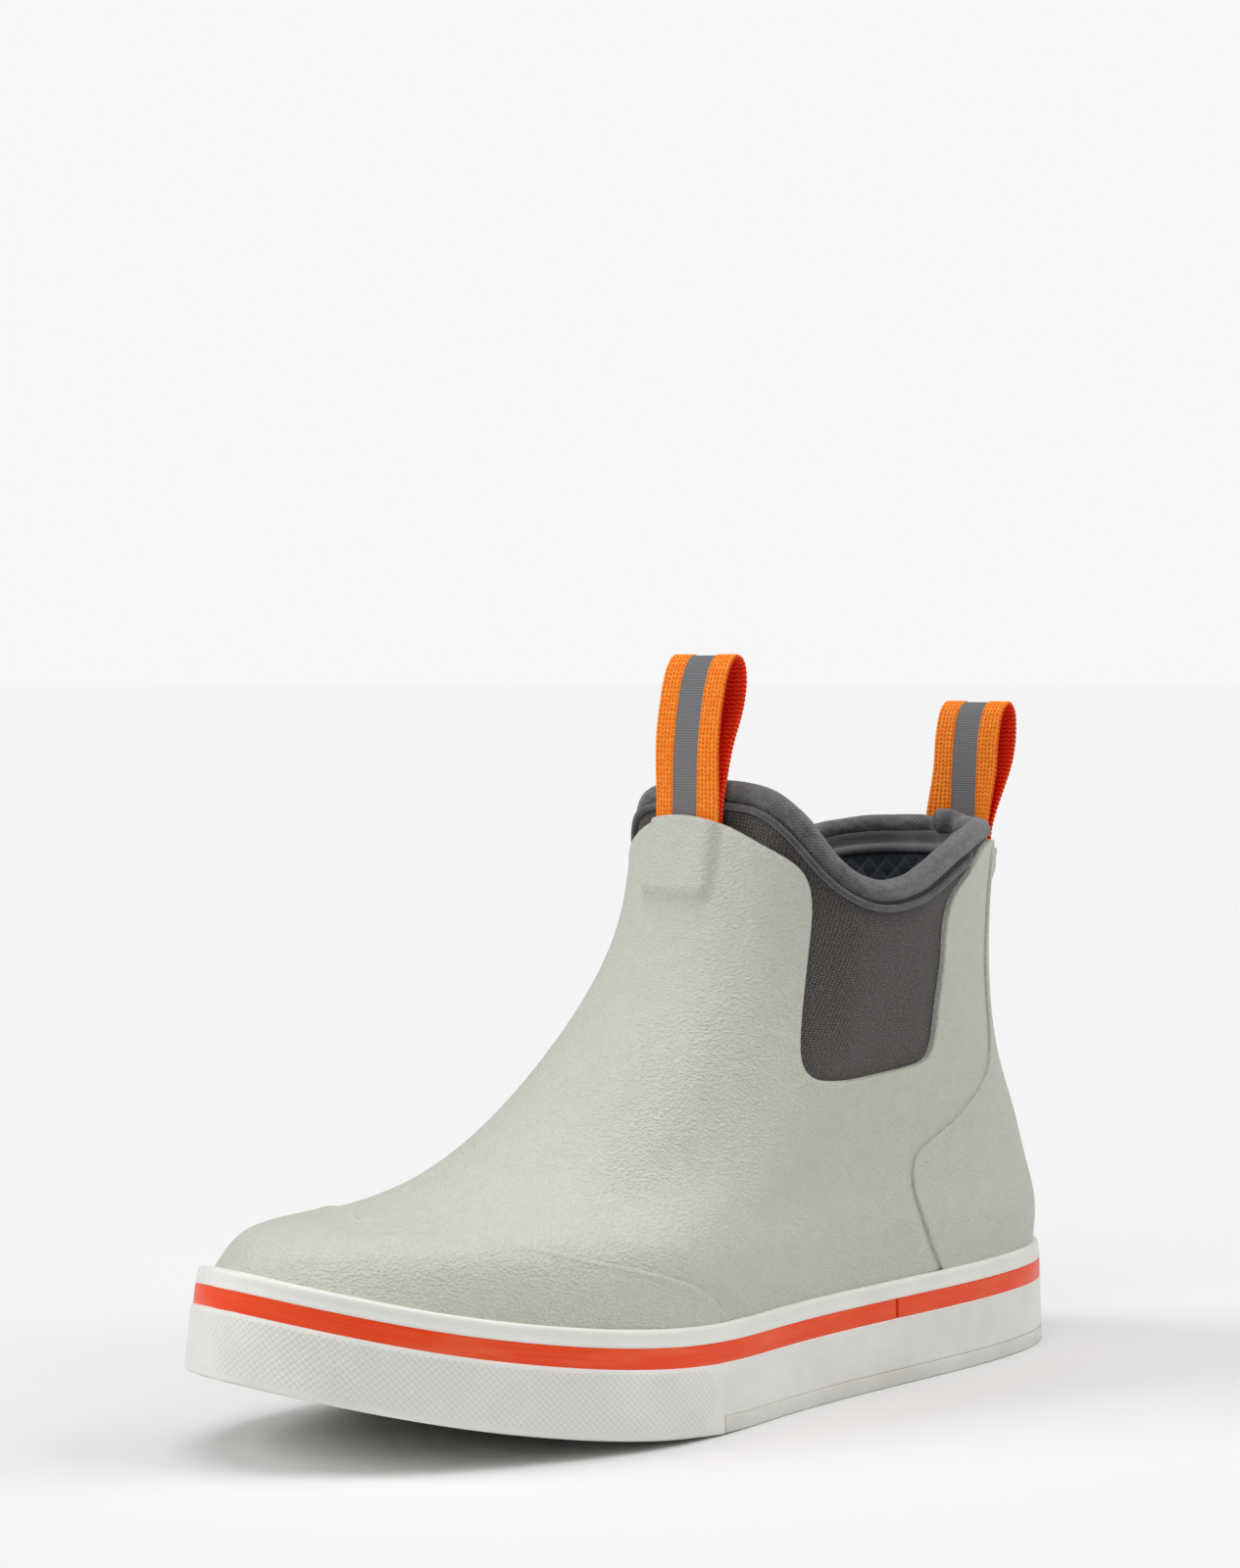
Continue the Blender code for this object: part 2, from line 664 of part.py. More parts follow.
def make_upper(rows, normals, parts, cutters, finishes):
    outer = bulged(rows, normals)
    made = new_object("rubber_shell", grid_mesh("rubber_shell", outer, False), parts,
                      finishes["rubber"])
    add_solidify(made, SHELL)
    outline = [(15, 230), *RUBBER_EDGE, (-150, 230)]
    add_boolean(made, "DIFFERENCE", prism("rubber_edge_cutter", outline, cutters))

    from_back = ANGLES
    from_front = (ANGLES + np.pi) % (2 * np.pi)
    overlays = (
        ("toe_cap", [*TOE_CAP_EDGE, (114, 90), (170, 90), (170, 20), (22.9, 20)],
         np.argsort(from_front), lambda turn: turn <= MIDFOOT_TURN, FIRST_LOFT_ROW + 6),
        ("heel_counter", [*COUNTER_EDGE, (-160, 146.5), (-160, 20), (-78.8, 20)],
         np.argsort(from_back), lambda turn: turn >= MIDFOOT_TURN, len(rows)),
    )
    for name, outline, order, wanted, last in overlays:
        columns = [c for c in order if wanted(turn_from_front(ANGLES[c]))]
        face = outer + normals * (OVERLAY + GAP)
        patch = face[FIRST_LOFT_ROW:last][:, columns]
        made = new_object(name, patch_mesh(name, patch), parts, finishes[name])
        add_solidify(made, OVERLAY)
        add_boolean(made, "INTERSECT", prism(name + "_cutter", outline, cutters))


def patch_mesh(name, rows):
    """Open mesh of a grid that doesn't close round the boot."""
    count, columns = rows.shape[:2]
    faces = []
    for r in range(count - 1):
        for c in range(columns - 1):
            low, high = r * columns + c, (r + 1) * columns + c
            faces += [(low, low + 1, high + 1), (low, high + 1, high)]
    mesh = bpy.data.meshes.new(name)
    mesh.from_pydata((rows.reshape(-1, 3) * MM).tolist(), [], faces)
    mesh.update()
    return mesh


def make_socks(rows, normals, parts, finishes):
    """Neoprene bootie and quilted lining, each a sock with a closed sole."""
    for name, depth, thickness in (
        ("neoprene_bootie", BOOTIE_DEPTH, NEOPRENE),
        ("quilted_lining", LINING_DEPTH, LINING),
    ):
        mesh = grid_mesh(name, dented(rows, normals) - normals * depth, True)
        made = new_object(name, mesh, parts, finishes[name])
        add_solidify(made, thickness)


def tube(name, points, radius, sides, parts, finish):
    """Round trim along the points, with filled ends."""
    curve = bpy.data.curves.new(name, "CURVE")
    curve.dimensions = "3D"
    curve.bevel_depth = radius * MM
    curve.bevel_resolution = sides
    curve.use_fill_caps = True
    line = curve.splines.new("POLY")
    line.points.add(len(points) - 1)
    for knot, point in zip(line.points, points):
        knot.co = (*(Vector(point) * MM), 1)
    holder = bpy.data.objects.new(name + "_path", curve)
    parts.objects.link(holder)
    graph = bpy.context.evaluated_depsgraph_get()
    graph.update()
    mesh = bpy.data.meshes.new_from_object(holder.evaluated_get(graph))
    bpy.data.objects.remove(holder)
    form = bmesh.new()
    form.from_mesh(mesh)
    bmesh.ops.remove_doubles(form, verts=form.verts, dist=1e-6)
    bmesh.ops.recalc_face_normals(form, faces=form.faces)
    form.to_mesh(mesh)
    form.free()
    return new_object(name, mesh, parts, finish)


def make_collar(rows, normals, parts, finishes):
    """Binding over the layers' top edge, piping under it, and a facing band inside."""
    face = dented(rows, normals)
    edge, facing_out = face[-1], normals[-1]
    rise = np.cross(facing_out, np.roll(edge, -1, 0) - np.roll(edge, 1, 0))
    rise /= np.linalg.norm(rise, axis=1)[:, None]

    turns = np.radians(np.arange(BINDING_START, BINDING_END + 1e-6, BINDING_STEP))
    centre = edge - facing_out * LAYER_MIDDLE
    lifts = BINDING_RISE + smooth_step((np.degrees(turns) - 165) / 15) * BINDING_END_RISE
    path = [line_at(centre, t) + line_at(rise, t) * lift for t, lift in zip(turns, lifts)]
    tube("collar_binding", path, BINDING_RADIUS, 2, parts, finishes["binding"])

    outer = edge - facing_out * (BOOTIE_DEPTH - GAP - PIPING_RADIUS)
    path = [line_at(outer, t) + line_at(rise, t) * (PIPING_RADIUS - BOOTIE_EDGE)
            for t in wall_angles(-PIPING_END, PIPING_END)]
    tube("collar_piping", path, PIPING_RADIUS, 1, parts, finishes["binding"])

    bands = (face - normals * (INSIDE_DEPTH + GAP))[-FACING_ROWS:]
    made = new_object("collar_facing", grid_mesh("collar_facing", bands, False), parts,
                      finishes["facing"])
    add_solidify(made, FACING)


def offset_path(path, distance):
    """The path moved sideways, to its left for a positive distance."""
    run = np.gradient(path, axis=0)
    run /= np.linalg.norm(run, axis=1)[:, None]
    return path + np.column_stack([-run[:, 1], run[:, 0]]) * distance


def flat_piece(name, loops, width, parts, finish):
    """Outline in side view, with any holes, extruded across the boot and made a mesh."""
    curve = bpy.data.curves.new(name, "CURVE")
    curve.dimensions = "2D"
    curve.fill_mode = "BOTH"
    curve.extrude = width / 2 * MM
    for loop in loops:
        line = curve.splines.new("POLY")
        line.points.add(len(loop) - 1)
        line.use_cyclic_u = True
        for knot, (x, z) in zip(line.points, loop):
            knot.co = (x * MM, z * MM, 0, 1)
    holder = bpy.data.objects.new(name + "_outline", curve)
    parts.objects.link(holder)
    graph = bpy.context.evaluated_depsgraph_get()
    graph.update()
    mesh = bpy.data.meshes.new_from_object(holder.evaluated_get(graph))
    bpy.data.objects.remove(holder)
    form = bmesh.new()
    form.from_mesh(mesh)
    bmesh.ops.remove_doubles(form, verts=form.verts, dist=1e-6)
    bmesh.ops.recalc_face_normals(form, faces=form.faces)
    for vertex in form.verts:
        x, z, y = vertex.co
        vertex.co = (x, y, z)
    bmesh.ops.reverse_faces(form, faces=form.faces)
    bmesh.ops.recalc_face_normals(form, faces=form.faces)
    form.to_mesh(mesh)
    form.free()
    return new_object(name, mesh, parts, finish)


def make_tab(side, rows, normals, parts, finishes):
    """Webbing loop and its woven stripe on a hinge axis, and the fixed tail below it."""
    turn = np.array([0.0 if side == "front" else np.pi])
    height = RUBBER_TOP[side] + PIVOT_RISE
    surface = upper_point(turn, q_at_height(turn, height))[0]
    pivot = bpy.data.objects.new(side + "_tab_axis", None)
    pivot.location = (surface[0] * MM - math.cos(turn[0]) * PIVOT_DEPTH * MM, 0, height * MM)
    parts.objects.link(pivot)

    path = smooth_path(np.array(LOOP_SIDE[side]), 2)
    outer = offset_path(path, -WEBBING / 2)
    bottom = [(WEBBING * math.cos(a), WEBBING * math.sin(a))
              for a in np.radians([-150, -120, -90, -60, -30])]
    inner = offset_path(path, WEBBING / 2)
    hole = [p for p in inner[2:-2] if p[1] > 4.5]
    loop = flat_piece(side + "_tab_loop", [[*outer, *bottom], hole], WEBBING_WIDTH, parts,
                      finishes["webbing"])
    start = STRIPE_START[side]
    near = offset_path(path, -WEBBING / 2 - GAP)[start:-2]
    far = offset_path(path, -WEBBING / 2 - GAP - TAB_STRIPE)[start:-2]
    stripe = flat_piece(side + "_tab_stripe", [[*far, *near[::-1]]], TAB_STRIPE_WIDTH, parts,
                        finishes["tab_stripe"])
    for made in (loop, stripe):
        made.parent = pivot
    make_tail(side, rows, normals, parts, finishes)


def make_tail(side, rows, normals, parts, finishes):
    """The stitched-down ends of the webbing, between the rubber and the neoprene."""
    heights = np.linspace(TAIL_BOTTOM[side],
                          RUBBER_TOP[side] + PIVOT_RISE - WEBBING - 2 * GAP, 4)
    across = np.linspace(-TAIL_WIDTH / 2, TAIL_WIDTH / 2, 7)
    rise = POCKET_RISE - SHELL - TAIL_GAP
    turn = turn_from_front(ANGLES)
    near = np.flatnonzero(turn < 20 if side == "front" else turn > 145)
    near = near[np.argsort(rows[-1, near, 1])]
    face = (rows + normals * rise)[FIRST_TOP_ROW:, near]
    points = np.zeros((len(heights), len(across), 3))
    for i, height in enumerate(heights):
        level = np.array([[np.interp(height, column[:, 2], column[:, axis])
                           for axis in (0, 1)] for column in face.transpose(1, 0, 2)])
        for j, y in enumerate(across):
            points[i, j] = (np.interp(y, level[:, 1], level[:, 0]), y, height)
    if side == "rear":
        points = points[:, ::-1]
    made = new_object(side + "_tab_tail", patch_mesh(side + "_tab_tail", points), parts,
                      finishes["webbing"])
    add_solidify(made, TAIL)


def build():
    for old in list(bpy.data.objects):
        bpy.data.objects.remove(old, do_unlink=True)
    parts = bpy.data.collections.new("deck_boot")
    cutters = bpy.data.collections.new("cutters")
    cutters.hide_render = True
    for group in (parts, cutters):
        bpy.context.scene.collection.children.link(group)
    finishes = {
        name: material(name, colour, roughness)
        for name, (colour, roughness) in {
            "rubber": ((0.56, 0.56, 0.47), 0.62),
            "toe_cap": ((0.55, 0.55, 0.46), 0.62),
            "heel_counter": ((0.54, 0.54, 0.45), 0.62),
            "foxing": ((0.70, 0.70, 0.66), 0.55),
            "bumper": ((0.66, 0.66, 0.62), 0.60),
            "stripe": ((0.72, 0.12, 0.035), 0.40),
            "outsole": ((0.66, 0.66, 0.62), 0.60),
            "midsole": ((0.60, 0.60, 0.57), 0.80),
            "board": ((0.42, 0.33, 0.22), 0.90),
            "footbed": ((0.10, 0.11, 0.12), 0.85),
            "cover": ((0.05, 0.06, 0.07), 0.95),
            "neoprene_bootie": ((0.10, 0.09, 0.085), 0.90),
            "quilted_lining": ((0.035, 0.045, 0.06), 0.90),
            "binding": ((0.11, 0.11, 0.115), 0.90),
            "facing": ((0.07, 0.07, 0.075), 0.90),
            "webbing": ((0.90, 0.25, 0.02), 0.80),
            "tab_stripe": ((0.19, 0.19, 0.20), 0.75),
        }.items()
    }
    make_outsole(parts, cutters, finishes["outsole"])
    make_sole_fill(parts, finishes)
    make_sole_wall(parts, finishes)
    make_footbed(parts, finishes)
    rows, normals = layered()
    make_upper(rows, normals, parts, cutters, finishes)
    make_socks(rows, normals, parts, finishes)
    make_collar(rows, normals, parts, finishes)
    make_tab("front", rows, normals, parts, finishes)
    make_tab("rear", rows, normals, parts, finishes)


build()
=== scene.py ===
"""Looks of the ankle deck boot: fine surfaces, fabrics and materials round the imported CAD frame.

Lengths in this file's tables are millimetres in the row frame (+X toe, +Y outer side, +Z up);
meshes are made in metres. The upper's surface is the same loft of tilted rings as the CAD part:
t is the angle round the leg (0 at the front) and q the height from the sole wall to the collar.
"""

import json
import math

import bpy
import numpy as np
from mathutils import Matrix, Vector, kdtree


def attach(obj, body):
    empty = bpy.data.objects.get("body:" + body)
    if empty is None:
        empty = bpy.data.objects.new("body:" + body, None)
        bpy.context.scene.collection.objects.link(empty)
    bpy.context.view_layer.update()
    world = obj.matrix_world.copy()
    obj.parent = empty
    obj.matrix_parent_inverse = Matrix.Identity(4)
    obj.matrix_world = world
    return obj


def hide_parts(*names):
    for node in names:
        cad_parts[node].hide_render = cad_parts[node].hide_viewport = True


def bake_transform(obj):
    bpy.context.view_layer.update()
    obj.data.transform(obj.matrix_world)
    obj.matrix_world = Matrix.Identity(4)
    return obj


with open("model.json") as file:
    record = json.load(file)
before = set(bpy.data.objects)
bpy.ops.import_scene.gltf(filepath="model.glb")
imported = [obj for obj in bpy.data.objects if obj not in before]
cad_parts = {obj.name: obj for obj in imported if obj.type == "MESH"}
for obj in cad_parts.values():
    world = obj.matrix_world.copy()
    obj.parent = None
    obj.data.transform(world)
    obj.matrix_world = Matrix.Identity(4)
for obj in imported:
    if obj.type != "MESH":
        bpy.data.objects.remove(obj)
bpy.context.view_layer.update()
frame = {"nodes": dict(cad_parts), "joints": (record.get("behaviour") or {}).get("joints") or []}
MM = 0.001

SOLE_OUTLINE = [
    (-149.8, 0), (-137.4, 21.3), (-111.3, 32.8), (-60.1, 39.8), (-0.5, 47.4), (49.8, 55.4),
    (91.4, 46.7), (127.2, 30.2), (150.3, -7.9), (141.3, -33.3), (111.9, -47.5), (66, -52.1),
    (10, -44), (-50, -36), (-108, -36), (-139, -25),
]
FEATHER_INSET = 3.5
TOE_SPRING, SPRING_START, TOE_X = 22.3, 8.0, 150.0
RINGS = [
    (142.0, 50.0, -147.0, 29, 1.000, 0.00, 40.0),
    (131.0, 59.2, -148.0, 42, 0.975, 0.00, 40.0),
    (110.8, 60.0, -144.6, 56, 0.890, 0.03, 40.0),
    (83.0, 61.8, -139.7, 71, 0.830, 0.12, 39.5),
    (54.0, 74.6, -133.0, 87, 0.780, 0.30, 40.0),
    (25.2, 98.0, -128.2, 107, 0.760, 0.55, 39.0),
    (1.8, 128.0, -126.6, 132, 0.770, 0.85, 40.0),
    (-7.2, 161.0, -127.4, 158, 0.770, 1.00, 43.3),
    (-12.7, 194.0, -130.4, 184, 0.770, 1.00, 43.4),
]
OVAL_POWER, OVAL_FRONT_SHARE, SAG_END = 0.87, 0.28, 0.45
FOXING_HEIGHT = [(-150, 30.0), (60, 29.0), (150, 27.5)]
SEAM_HEIGHT = [
    (0, 167.2), (13, 166.6), (25, 164.0), (33, 159.5), (40, 154.1), (50, 146.3), (59, 141.3),
    (69, 137.9), (79, 137.1), (90, 138.9), (104, 145.0), (125, 151.0), (150, 152.4), (180, 152.4),
]
RUBBER_EDGE = [
    (-7.2, 161.6), (-8.4, 159.4), (-10.9, 155.6), (-15.3, 151.2), (-19.2, 146.9), (-20.9, 142.2),
    (-21.3, 137.6), (-20.5, 128.6), (-18, 115.6), (-15.3, 103.7), (-14.3, 96.8), (-15.2, 92.6),
    (-18.6, 89.8), (-25.7, 88.2), (-36.8, 87.4), (-53.4, 87.8), (-69, 88.6), (-76.2, 90.3),
    (-79.5, 95.2), (-80.9, 106.6), (-81.3, 120.3), (-80.0, 130), (-81.2, 135.8), (-91, 143.4),
    (-101, 149.4), (-108, 151.4),
]
RUBBER_REAR_TOP = 151.6
TOE_CAP_EDGE = [
    (22.9, 29), (28.1, 33.7), (33, 37.7), (44.2, 42.7), (58.7, 47.3), (68.5, 50), (80, 53.2),
]
TOE_CAP_TOP_X = 104.0
COUNTER_EDGE = [
    (-78.8, 29), (-72.5, 39.5), (-68.6, 49.8), (-68.2, 57.8), (-71.2, 63.2), (-77.7, 66.2),
    (-89.2, 70.5), (-102.4, 76.9), (-110.8, 82.6), (-114.4, 87.6), (-116.4, 97.9),
    (-115.1, 108.2), (-113.6, 120.6), (-113.5, 133.3), (-114.2, 145),
]
COUNTER_TOP = 149.0


def spline(knots, values):
    """Natural cubic spline through the values at the knots, as a function."""
    knots = np.asarray(knots, float)
    values = np.asarray(values, float)
    steps = np.diff(knots)
    count = len(knots)
    system = np.eye(count)
    right = np.zeros(values.shape)
    for i in range(1, count - 1):
        system[i, i - 1 : i + 2] = steps[i - 1], 2 * (steps[i - 1] + steps[i]), steps[i]
        rise = (values[i + 1] - values[i]) / steps[i]
        right[i] = 6 * (rise - (values[i] - values[i - 1]) / steps[i - 1])
    bend = np.linalg.solve(system, right)

    def at(x):
        x = np.asarray(x, float)
        i = np.clip(np.searchsorted(knots, x) - 1, 0, count - 2)
        width, run = steps[i], x - knots[i]
        if values.ndim > 1:
            width, run = width[..., None], run[..., None]
        slope = (values[i + 1] - values[i]) / width - width * (2 * bend[i] + bend[i + 1]) / 6
        cubic = (bend[i + 1] - bend[i]) / (6 * width)
        return values[i] + run * slope + run**2 * bend[i] / 2 + run**3 * cubic

    return at


def lengths_along(points):
    """Distance along a line to each of its points."""
    steps = np.linalg.norm(np.diff(points, axis=0), axis=1)
    return np.concatenate([[0], np.cumsum(steps)])


def resampled(points, along, places):
    """Points that lie at the distances along a line, read at other places along it."""
    return np.column_stack([np.interp(places, along, column) for column in points.T])


def closed_curve(points, count):
    """The given number of even steps along a smooth closed curve through the points."""
    wrap = 3
    points = np.asarray(points, float)
    looped = np.vstack([points[-wrap:], points, points[: wrap + 1]])
    along = lengths_along(looped)
    start, end = along[wrap], along[wrap + len(points)]
    return spline(along, looped)(np.linspace(start, end, count, endpoint=False))


def open_curve(points, count):
    """Evenly spaced points along a smooth open curve."""
    points = np.asarray(points, float)
    along = lengths_along(points)
    fine = spline(along, points)(np.linspace(0, along[-1], count * 4))
    along = lengths_along(fine)
    return resampled(fine, along, np.linspace(0, along[-1], count))


def outward(outline):
    """Outward unit normals of a closed outline seen from above."""
    run = np.roll(outline, -1, 0) - np.roll(outline, 1, 0)
    normals = np.stack([run[:, 1], -run[:, 0]], axis=1)
    normals /= np.linalg.norm(normals, axis=1)[:, None]
    return normals if ((outline - outline.mean(0)) * normals).sum() > 0 else -normals


def ramp(x, start, end):
    """Smooth change from 0 at the start to 1 at the end, whichever of them is larger."""
    x = np.clip((x - start) / (end - start), 0, 1)
    return x * x * (3 - 2 * x)


def unit(v):
    return v / np.maximum(np.linalg.norm(v, axis=-1, keepdims=True), 1e-12)


def arc(x, least=0.0):
    """Height of a round edge of radius 1 at the distance x from its centre."""
    return np.sqrt(np.clip(1 - x**2, least, 1))


def turn_of(t):
    """Angle from the front, 0 to pi on either side."""
    return np.abs((t + np.pi) % (2 * np.pi) - np.pi)


class Outline:
    """A closed outline seen from above, read by angle: x is the cosine of t along its length."""

    def __init__(self, points):
        front, back = points[:, 0].argmax(), points[:, 0].argmin()
        self.centre = (points[front, 0] + points[back, 0]) / 2
        self.half = (points[front, 0] - points[back, 0]) / 2
        count = len(points)
        ahead = [points[(front + k) % count] for k in range((back - front) % count + 1)]
        behind = [points[(front - k) % count] for k in range((front - back) % count + 1)]
        sides = sorted((np.array(ahead), np.array(behind)), key=lambda side: -side[:, 1].mean())
        self.outer, self.inner = (self.by_angle(side) for side in sides)

    def by_angle(self, side):
        return self.angle_of(side[:, 0]), side[:, 1]

    def angle_of(self, x):
        return np.arccos(np.clip((x - self.centre) / self.half, -1, 1))

    def middle_and_width(self, t):
        outer, inner = (np.interp(turn_of(t), *side) for side in (self.outer, self.inner))
        return (outer + inner) / 2, (outer - inner) / 2


SOLE_CURVE = closed_curve(SOLE_OUTLINE, 4000)
SOLE = Outline(SOLE_CURVE)
FEATHER = Outline(SOLE_CURVE - outward(SOLE_CURVE) * FEATHER_INSET)
RING_AT = spline(np.linspace(0, 1, len(RINGS)), RINGS)
SEAM_AT = spline([a for a, _ in SEAM_HEIGHT], [h for _, h in SEAM_HEIGHT])


def spring(x):
    """How far the toe lifts the sole off the ground."""
    return TOE_SPRING * np.clip((x - SPRING_START) / (TOE_X - SPRING_START), 0, 1) ** 2


def foxing_height(x):
    places, heights = zip(*FOXING_HEIGHT)
    return np.interp(x, places, heights)


def upper_point(t, q):
    """Points of the upper's outer surface."""
    t, q = np.broadcast_arrays(np.asarray(t, float), np.asarray(q, float))
    ring = RING_AT(q)
    along = np.cos(t)
    front, back = ring[..., 0:2], ring[..., 2:4]
    side = (front + back) / 2 + (front - back) / 2 * along[..., None]
    middle, width = FEATHER.middle_and_width(t)
    share, oval_share, oval_width = np.moveaxis(ring[..., 4:], -1, 0)
    oval = oval_width * np.abs(np.sin(t)) ** OVAL_POWER * (1 + OVAL_FRONT_SHARE * along)
    half = (1 - oval_share) * width * share + oval_share * oval
    y = middle * (1 - oval_share) + np.sign(np.sin(t)) * half
    first = RING_AT(0.0)
    straight = first[3] + (first[1] - first[3]) * (along + 1) / 2
    top = spring(side[..., 0]) + foxing_height(side[..., 0])
    sag = np.clip(1 - q / SAG_END, 0, 1) ** 2 * (top - straight)
    return np.stack([side[..., 0], y, side[..., 1] + sag], axis=-1)


def upper_normal(t, q):
    """Outward normal of the upper, from small steps round and up it."""
    t, q = np.broadcast_arrays(np.asarray(t, float), np.asarray(q, float))
    round_step = upper_point(t + 0.02, q) - upper_point(t - 0.02, q)
    up_step = upper_point(t, np.minimum(q + 0.012, 1.0)) - upper_point(t, np.maximum(q - 0.012, 0))
    return unit(np.cross(round_step, up_step))


def upper_at(t, q):
    return upper_point(t, q), upper_normal(t, q)


def q_at_height(t, height):
    t, height = np.broadcast_arrays(np.asarray(t, float), np.asarray(height, float))
    low, high = np.zeros(t.shape), np.ones(t.shape)
    for _ in range(26):
        middle = (low + high) / 2
        below = upper_point(t, middle)[..., 2] < height
        low, high = np.where(below, middle, low), np.where(below, high, middle)
    return (low + high) / 2


def seam_height(t):
    """Height of the seam under the collar's binding."""
    return SEAM_AT(np.degrees(turn_of(t)))


def angle_at(x, z):
    """The t in 0..pi of a point of the upper seen from the side."""
    low, high = 0.0, 1.0
    for _ in range(40):
        q = (low + high) / 2
        ring = RING_AT(q)
        t = math.acos(np.clip((2 * x - ring[0] - ring[2]) / (ring[0] - ring[2]), -1, 1))
        low, high = (q, high) if upper_point(t, q)[2] < z else (low, q)
    return t


# ---------------------------------------------------------------- meshes


def mesh_object(name, points, faces, material, uv=None, sharp=None):
    """Mesh from points in millimetres. faces is a list of index arrays, of quads or triangles,
    and uv the matching arrays of corner coordinates in millimetres."""
    mesh = bpy.data.meshes.new(name)
    points = np.asarray(points, np.float32).reshape(-1, 3) * MM
    mesh.vertices.add(len(points))
    mesh.vertices.foreach_set("co", points.ravel())
    faces = [np.asarray(f, np.int32) for f in faces if len(f)]
    corners = np.concatenate([f.ravel() for f in faces])
    sizes = np.concatenate([np.full(len(f), f.shape[1], np.int32) for f in faces])
    mesh.loops.add(len(corners))
    mesh.loops.foreach_set("vertex_index", corners)
    mesh.polygons.add(len(sizes))
    mesh.polygons.foreach_set("loop_start", np.concatenate([[0], np.cumsum(sizes)[:-1]]))
    mesh.update(calc_edges=True)
    if uv is not None:
        layer = mesh.uv_layers.new(name="cloth")
        flat = np.concatenate([np.asarray(u, np.float32).reshape(-1, 2) for u in uv])
        layer.data.foreach_set("uv", flat.ravel())
    mesh.validate()
    mesh.shade_smooth()
    if sharp:
        mesh.set_sharp_from_angle(angle=math.radians(sharp))
    made = bpy.data.objects.new(name, mesh)
    bpy.context.scene.collection.objects.link(made)
    mesh.materials.append(material)
    return made


def set_values(made, name, values):
    """Stores one number a point, for the material to read."""
    attribute = made.data.attributes.new(name, "FLOAT", "POINT")
    attribute.data.foreach_set("value", np.asarray(values, np.float32).ravel())


def grid_faces(rows, columns, closed_columns, closed_rows=False):
    """Quads of a grid, and each quad's rows and columns unwrapped, for its UVs."""
    r = np.arange(rows if closed_rows else rows - 1)
    c = np.arange(columns if closed_columns else columns - 1)
    r, c = (g.ravel() for g in np.meshgrid(r, c, indexing="ij"))
    corner_r = np.stack([r, r, r + 1, r + 1], 1)
    corner_c = np.stack([c, c + 1, c + 1, c], 1)
    faces = (corner_r % rows) * columns + corner_c % columns
    return faces, corner_r, corner_c


def grid_uv(corner_r, corner_c, u, v):
    """Corner coordinates of a grid: u for its columns and v for its rows, with the closing ones."""
    return np.stack([u[corner_c], v[corner_r]], -1)


def ride_as(made, node):
    """Puts a piece on the boot and hides the CAD node that it stands in for."""
    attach(made, "boot")
    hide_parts(node)


# ---------------------------------------------------------------- materials


class Nodes:
    """Short way to write a material's node tree."""

    def __init__(self, name, roughness, looks=None):
        self.material = bpy.data.materials.new(name)
        self.material.use_nodes = True
        self.tree = self.material.node_tree
        self.shader = self.tree.nodes["Principled BSDF"]
        self.set(self.shader, {"Roughness": roughness, **(looks or {})})

    def set(self, node, values):
        for key, value in values.items():
            socket = node.inputs[key]
            if isinstance(value, bpy.types.NodeSocket):
                self.tree.links.new(value, socket)
            else:
                socket.default_value = value

    def add(self, kind, output, values, **settings):
        """Adds a node, and gives back one of its outputs."""
        node = self.tree.nodes.new("ShaderNode" + kind)
        for key, value in settings.items():
            setattr(node, key, value)
        self.set(node, values)
        return node.outputs[output]

    def place(self):
        return self.add("TexCoord", "Object", {})

    def cloth(self):
        return self.add("UVMap", "UV", {}, uv_map="cloth")

    def value(self, name):
        return self.add("Attribute", "Fac", {}, attribute_name=name)

    def scaled(self, vector, scale, turn=0.0):
        return self.add("Mapping", "Vector", {
            "Vector": vector, "Scale": scale, "Rotation": (0, 0, turn)})

    def noise(self, vector, scale, detail=2.0, roughness=0.5, distortion=0.0):
        return self.add("TexNoise", "Fac", {
            "Vector": vector, "Scale": scale, "Detail": detail, "Roughness": roughness,
            "Distortion": distortion})

    def yarns(self, across, along, detail, roughness, scale=1.0):
        """Noise on the cloth, with its own density across and along."""
        return self.noise(self.scaled(self.cloth(), (across, along, 1)), scale, detail, roughness)

    def cells(self, vector, scale, smooth):
        return self.add("TexVoronoi", "Distance", {
            "Vector": vector, "Scale": scale, "Smoothness": smooth}, feature="SMOOTH_F1")

    def math(self, operation, first, second=0.0, third=0.0):
        return self.add("Math", 0, {0: first, 1: second, 2: third}, operation=operation)

    def total(self, *parts):
        """Sum of the values, each times its share."""
        found = 0.0
        for value, share in parts:
            found = self.math("MULTIPLY_ADD", value, share, found)
        return found

    def wave(self, x, length):
        return self.math("SINE", self.math("MULTIPLY", x, 2 * math.pi / length))

    def map(self, value, low, high, to_low=0.0, to_high=1.0):
        return self.add("MapRange", "Result", {
            "Value": value, "From Min": low, "From Max": high, "To Min": to_low,
            "To Max": to_high})

    def mix(self, factor, first, second):
        return self.add("Mix", 2, {0: factor, 6: first, 7: second}, data_type="RGBA")

    def across_and_along(self, vector):
        return (self.add("SeparateXYZ", axis, {"Vector": vector}) for axis in "XY")

    def finish(self, colour, roughness, height, distance, strength):
        """Colour, roughness unless it's None, and a bump whose distance is in millimetres."""
        values = {"Base Color": colour, "Roughness": roughness, "Normal": self.add(
            "Bump", "Normal", {"Height": height, "Distance": distance * MM, "Strength": strength})}
        self.set(self.shader, {k: v for k, v in values.items() if v is not None})
        return self.material


def rgb(r, g, b):
    """Linear colour from sRGB values of 0 to 255."""
    return (*[(c / 255 / 12.92 if c <= 10 else ((c / 255 + 0.055) / 1.055) ** 2.4)
              for c in (r, g, b)], 1.0)


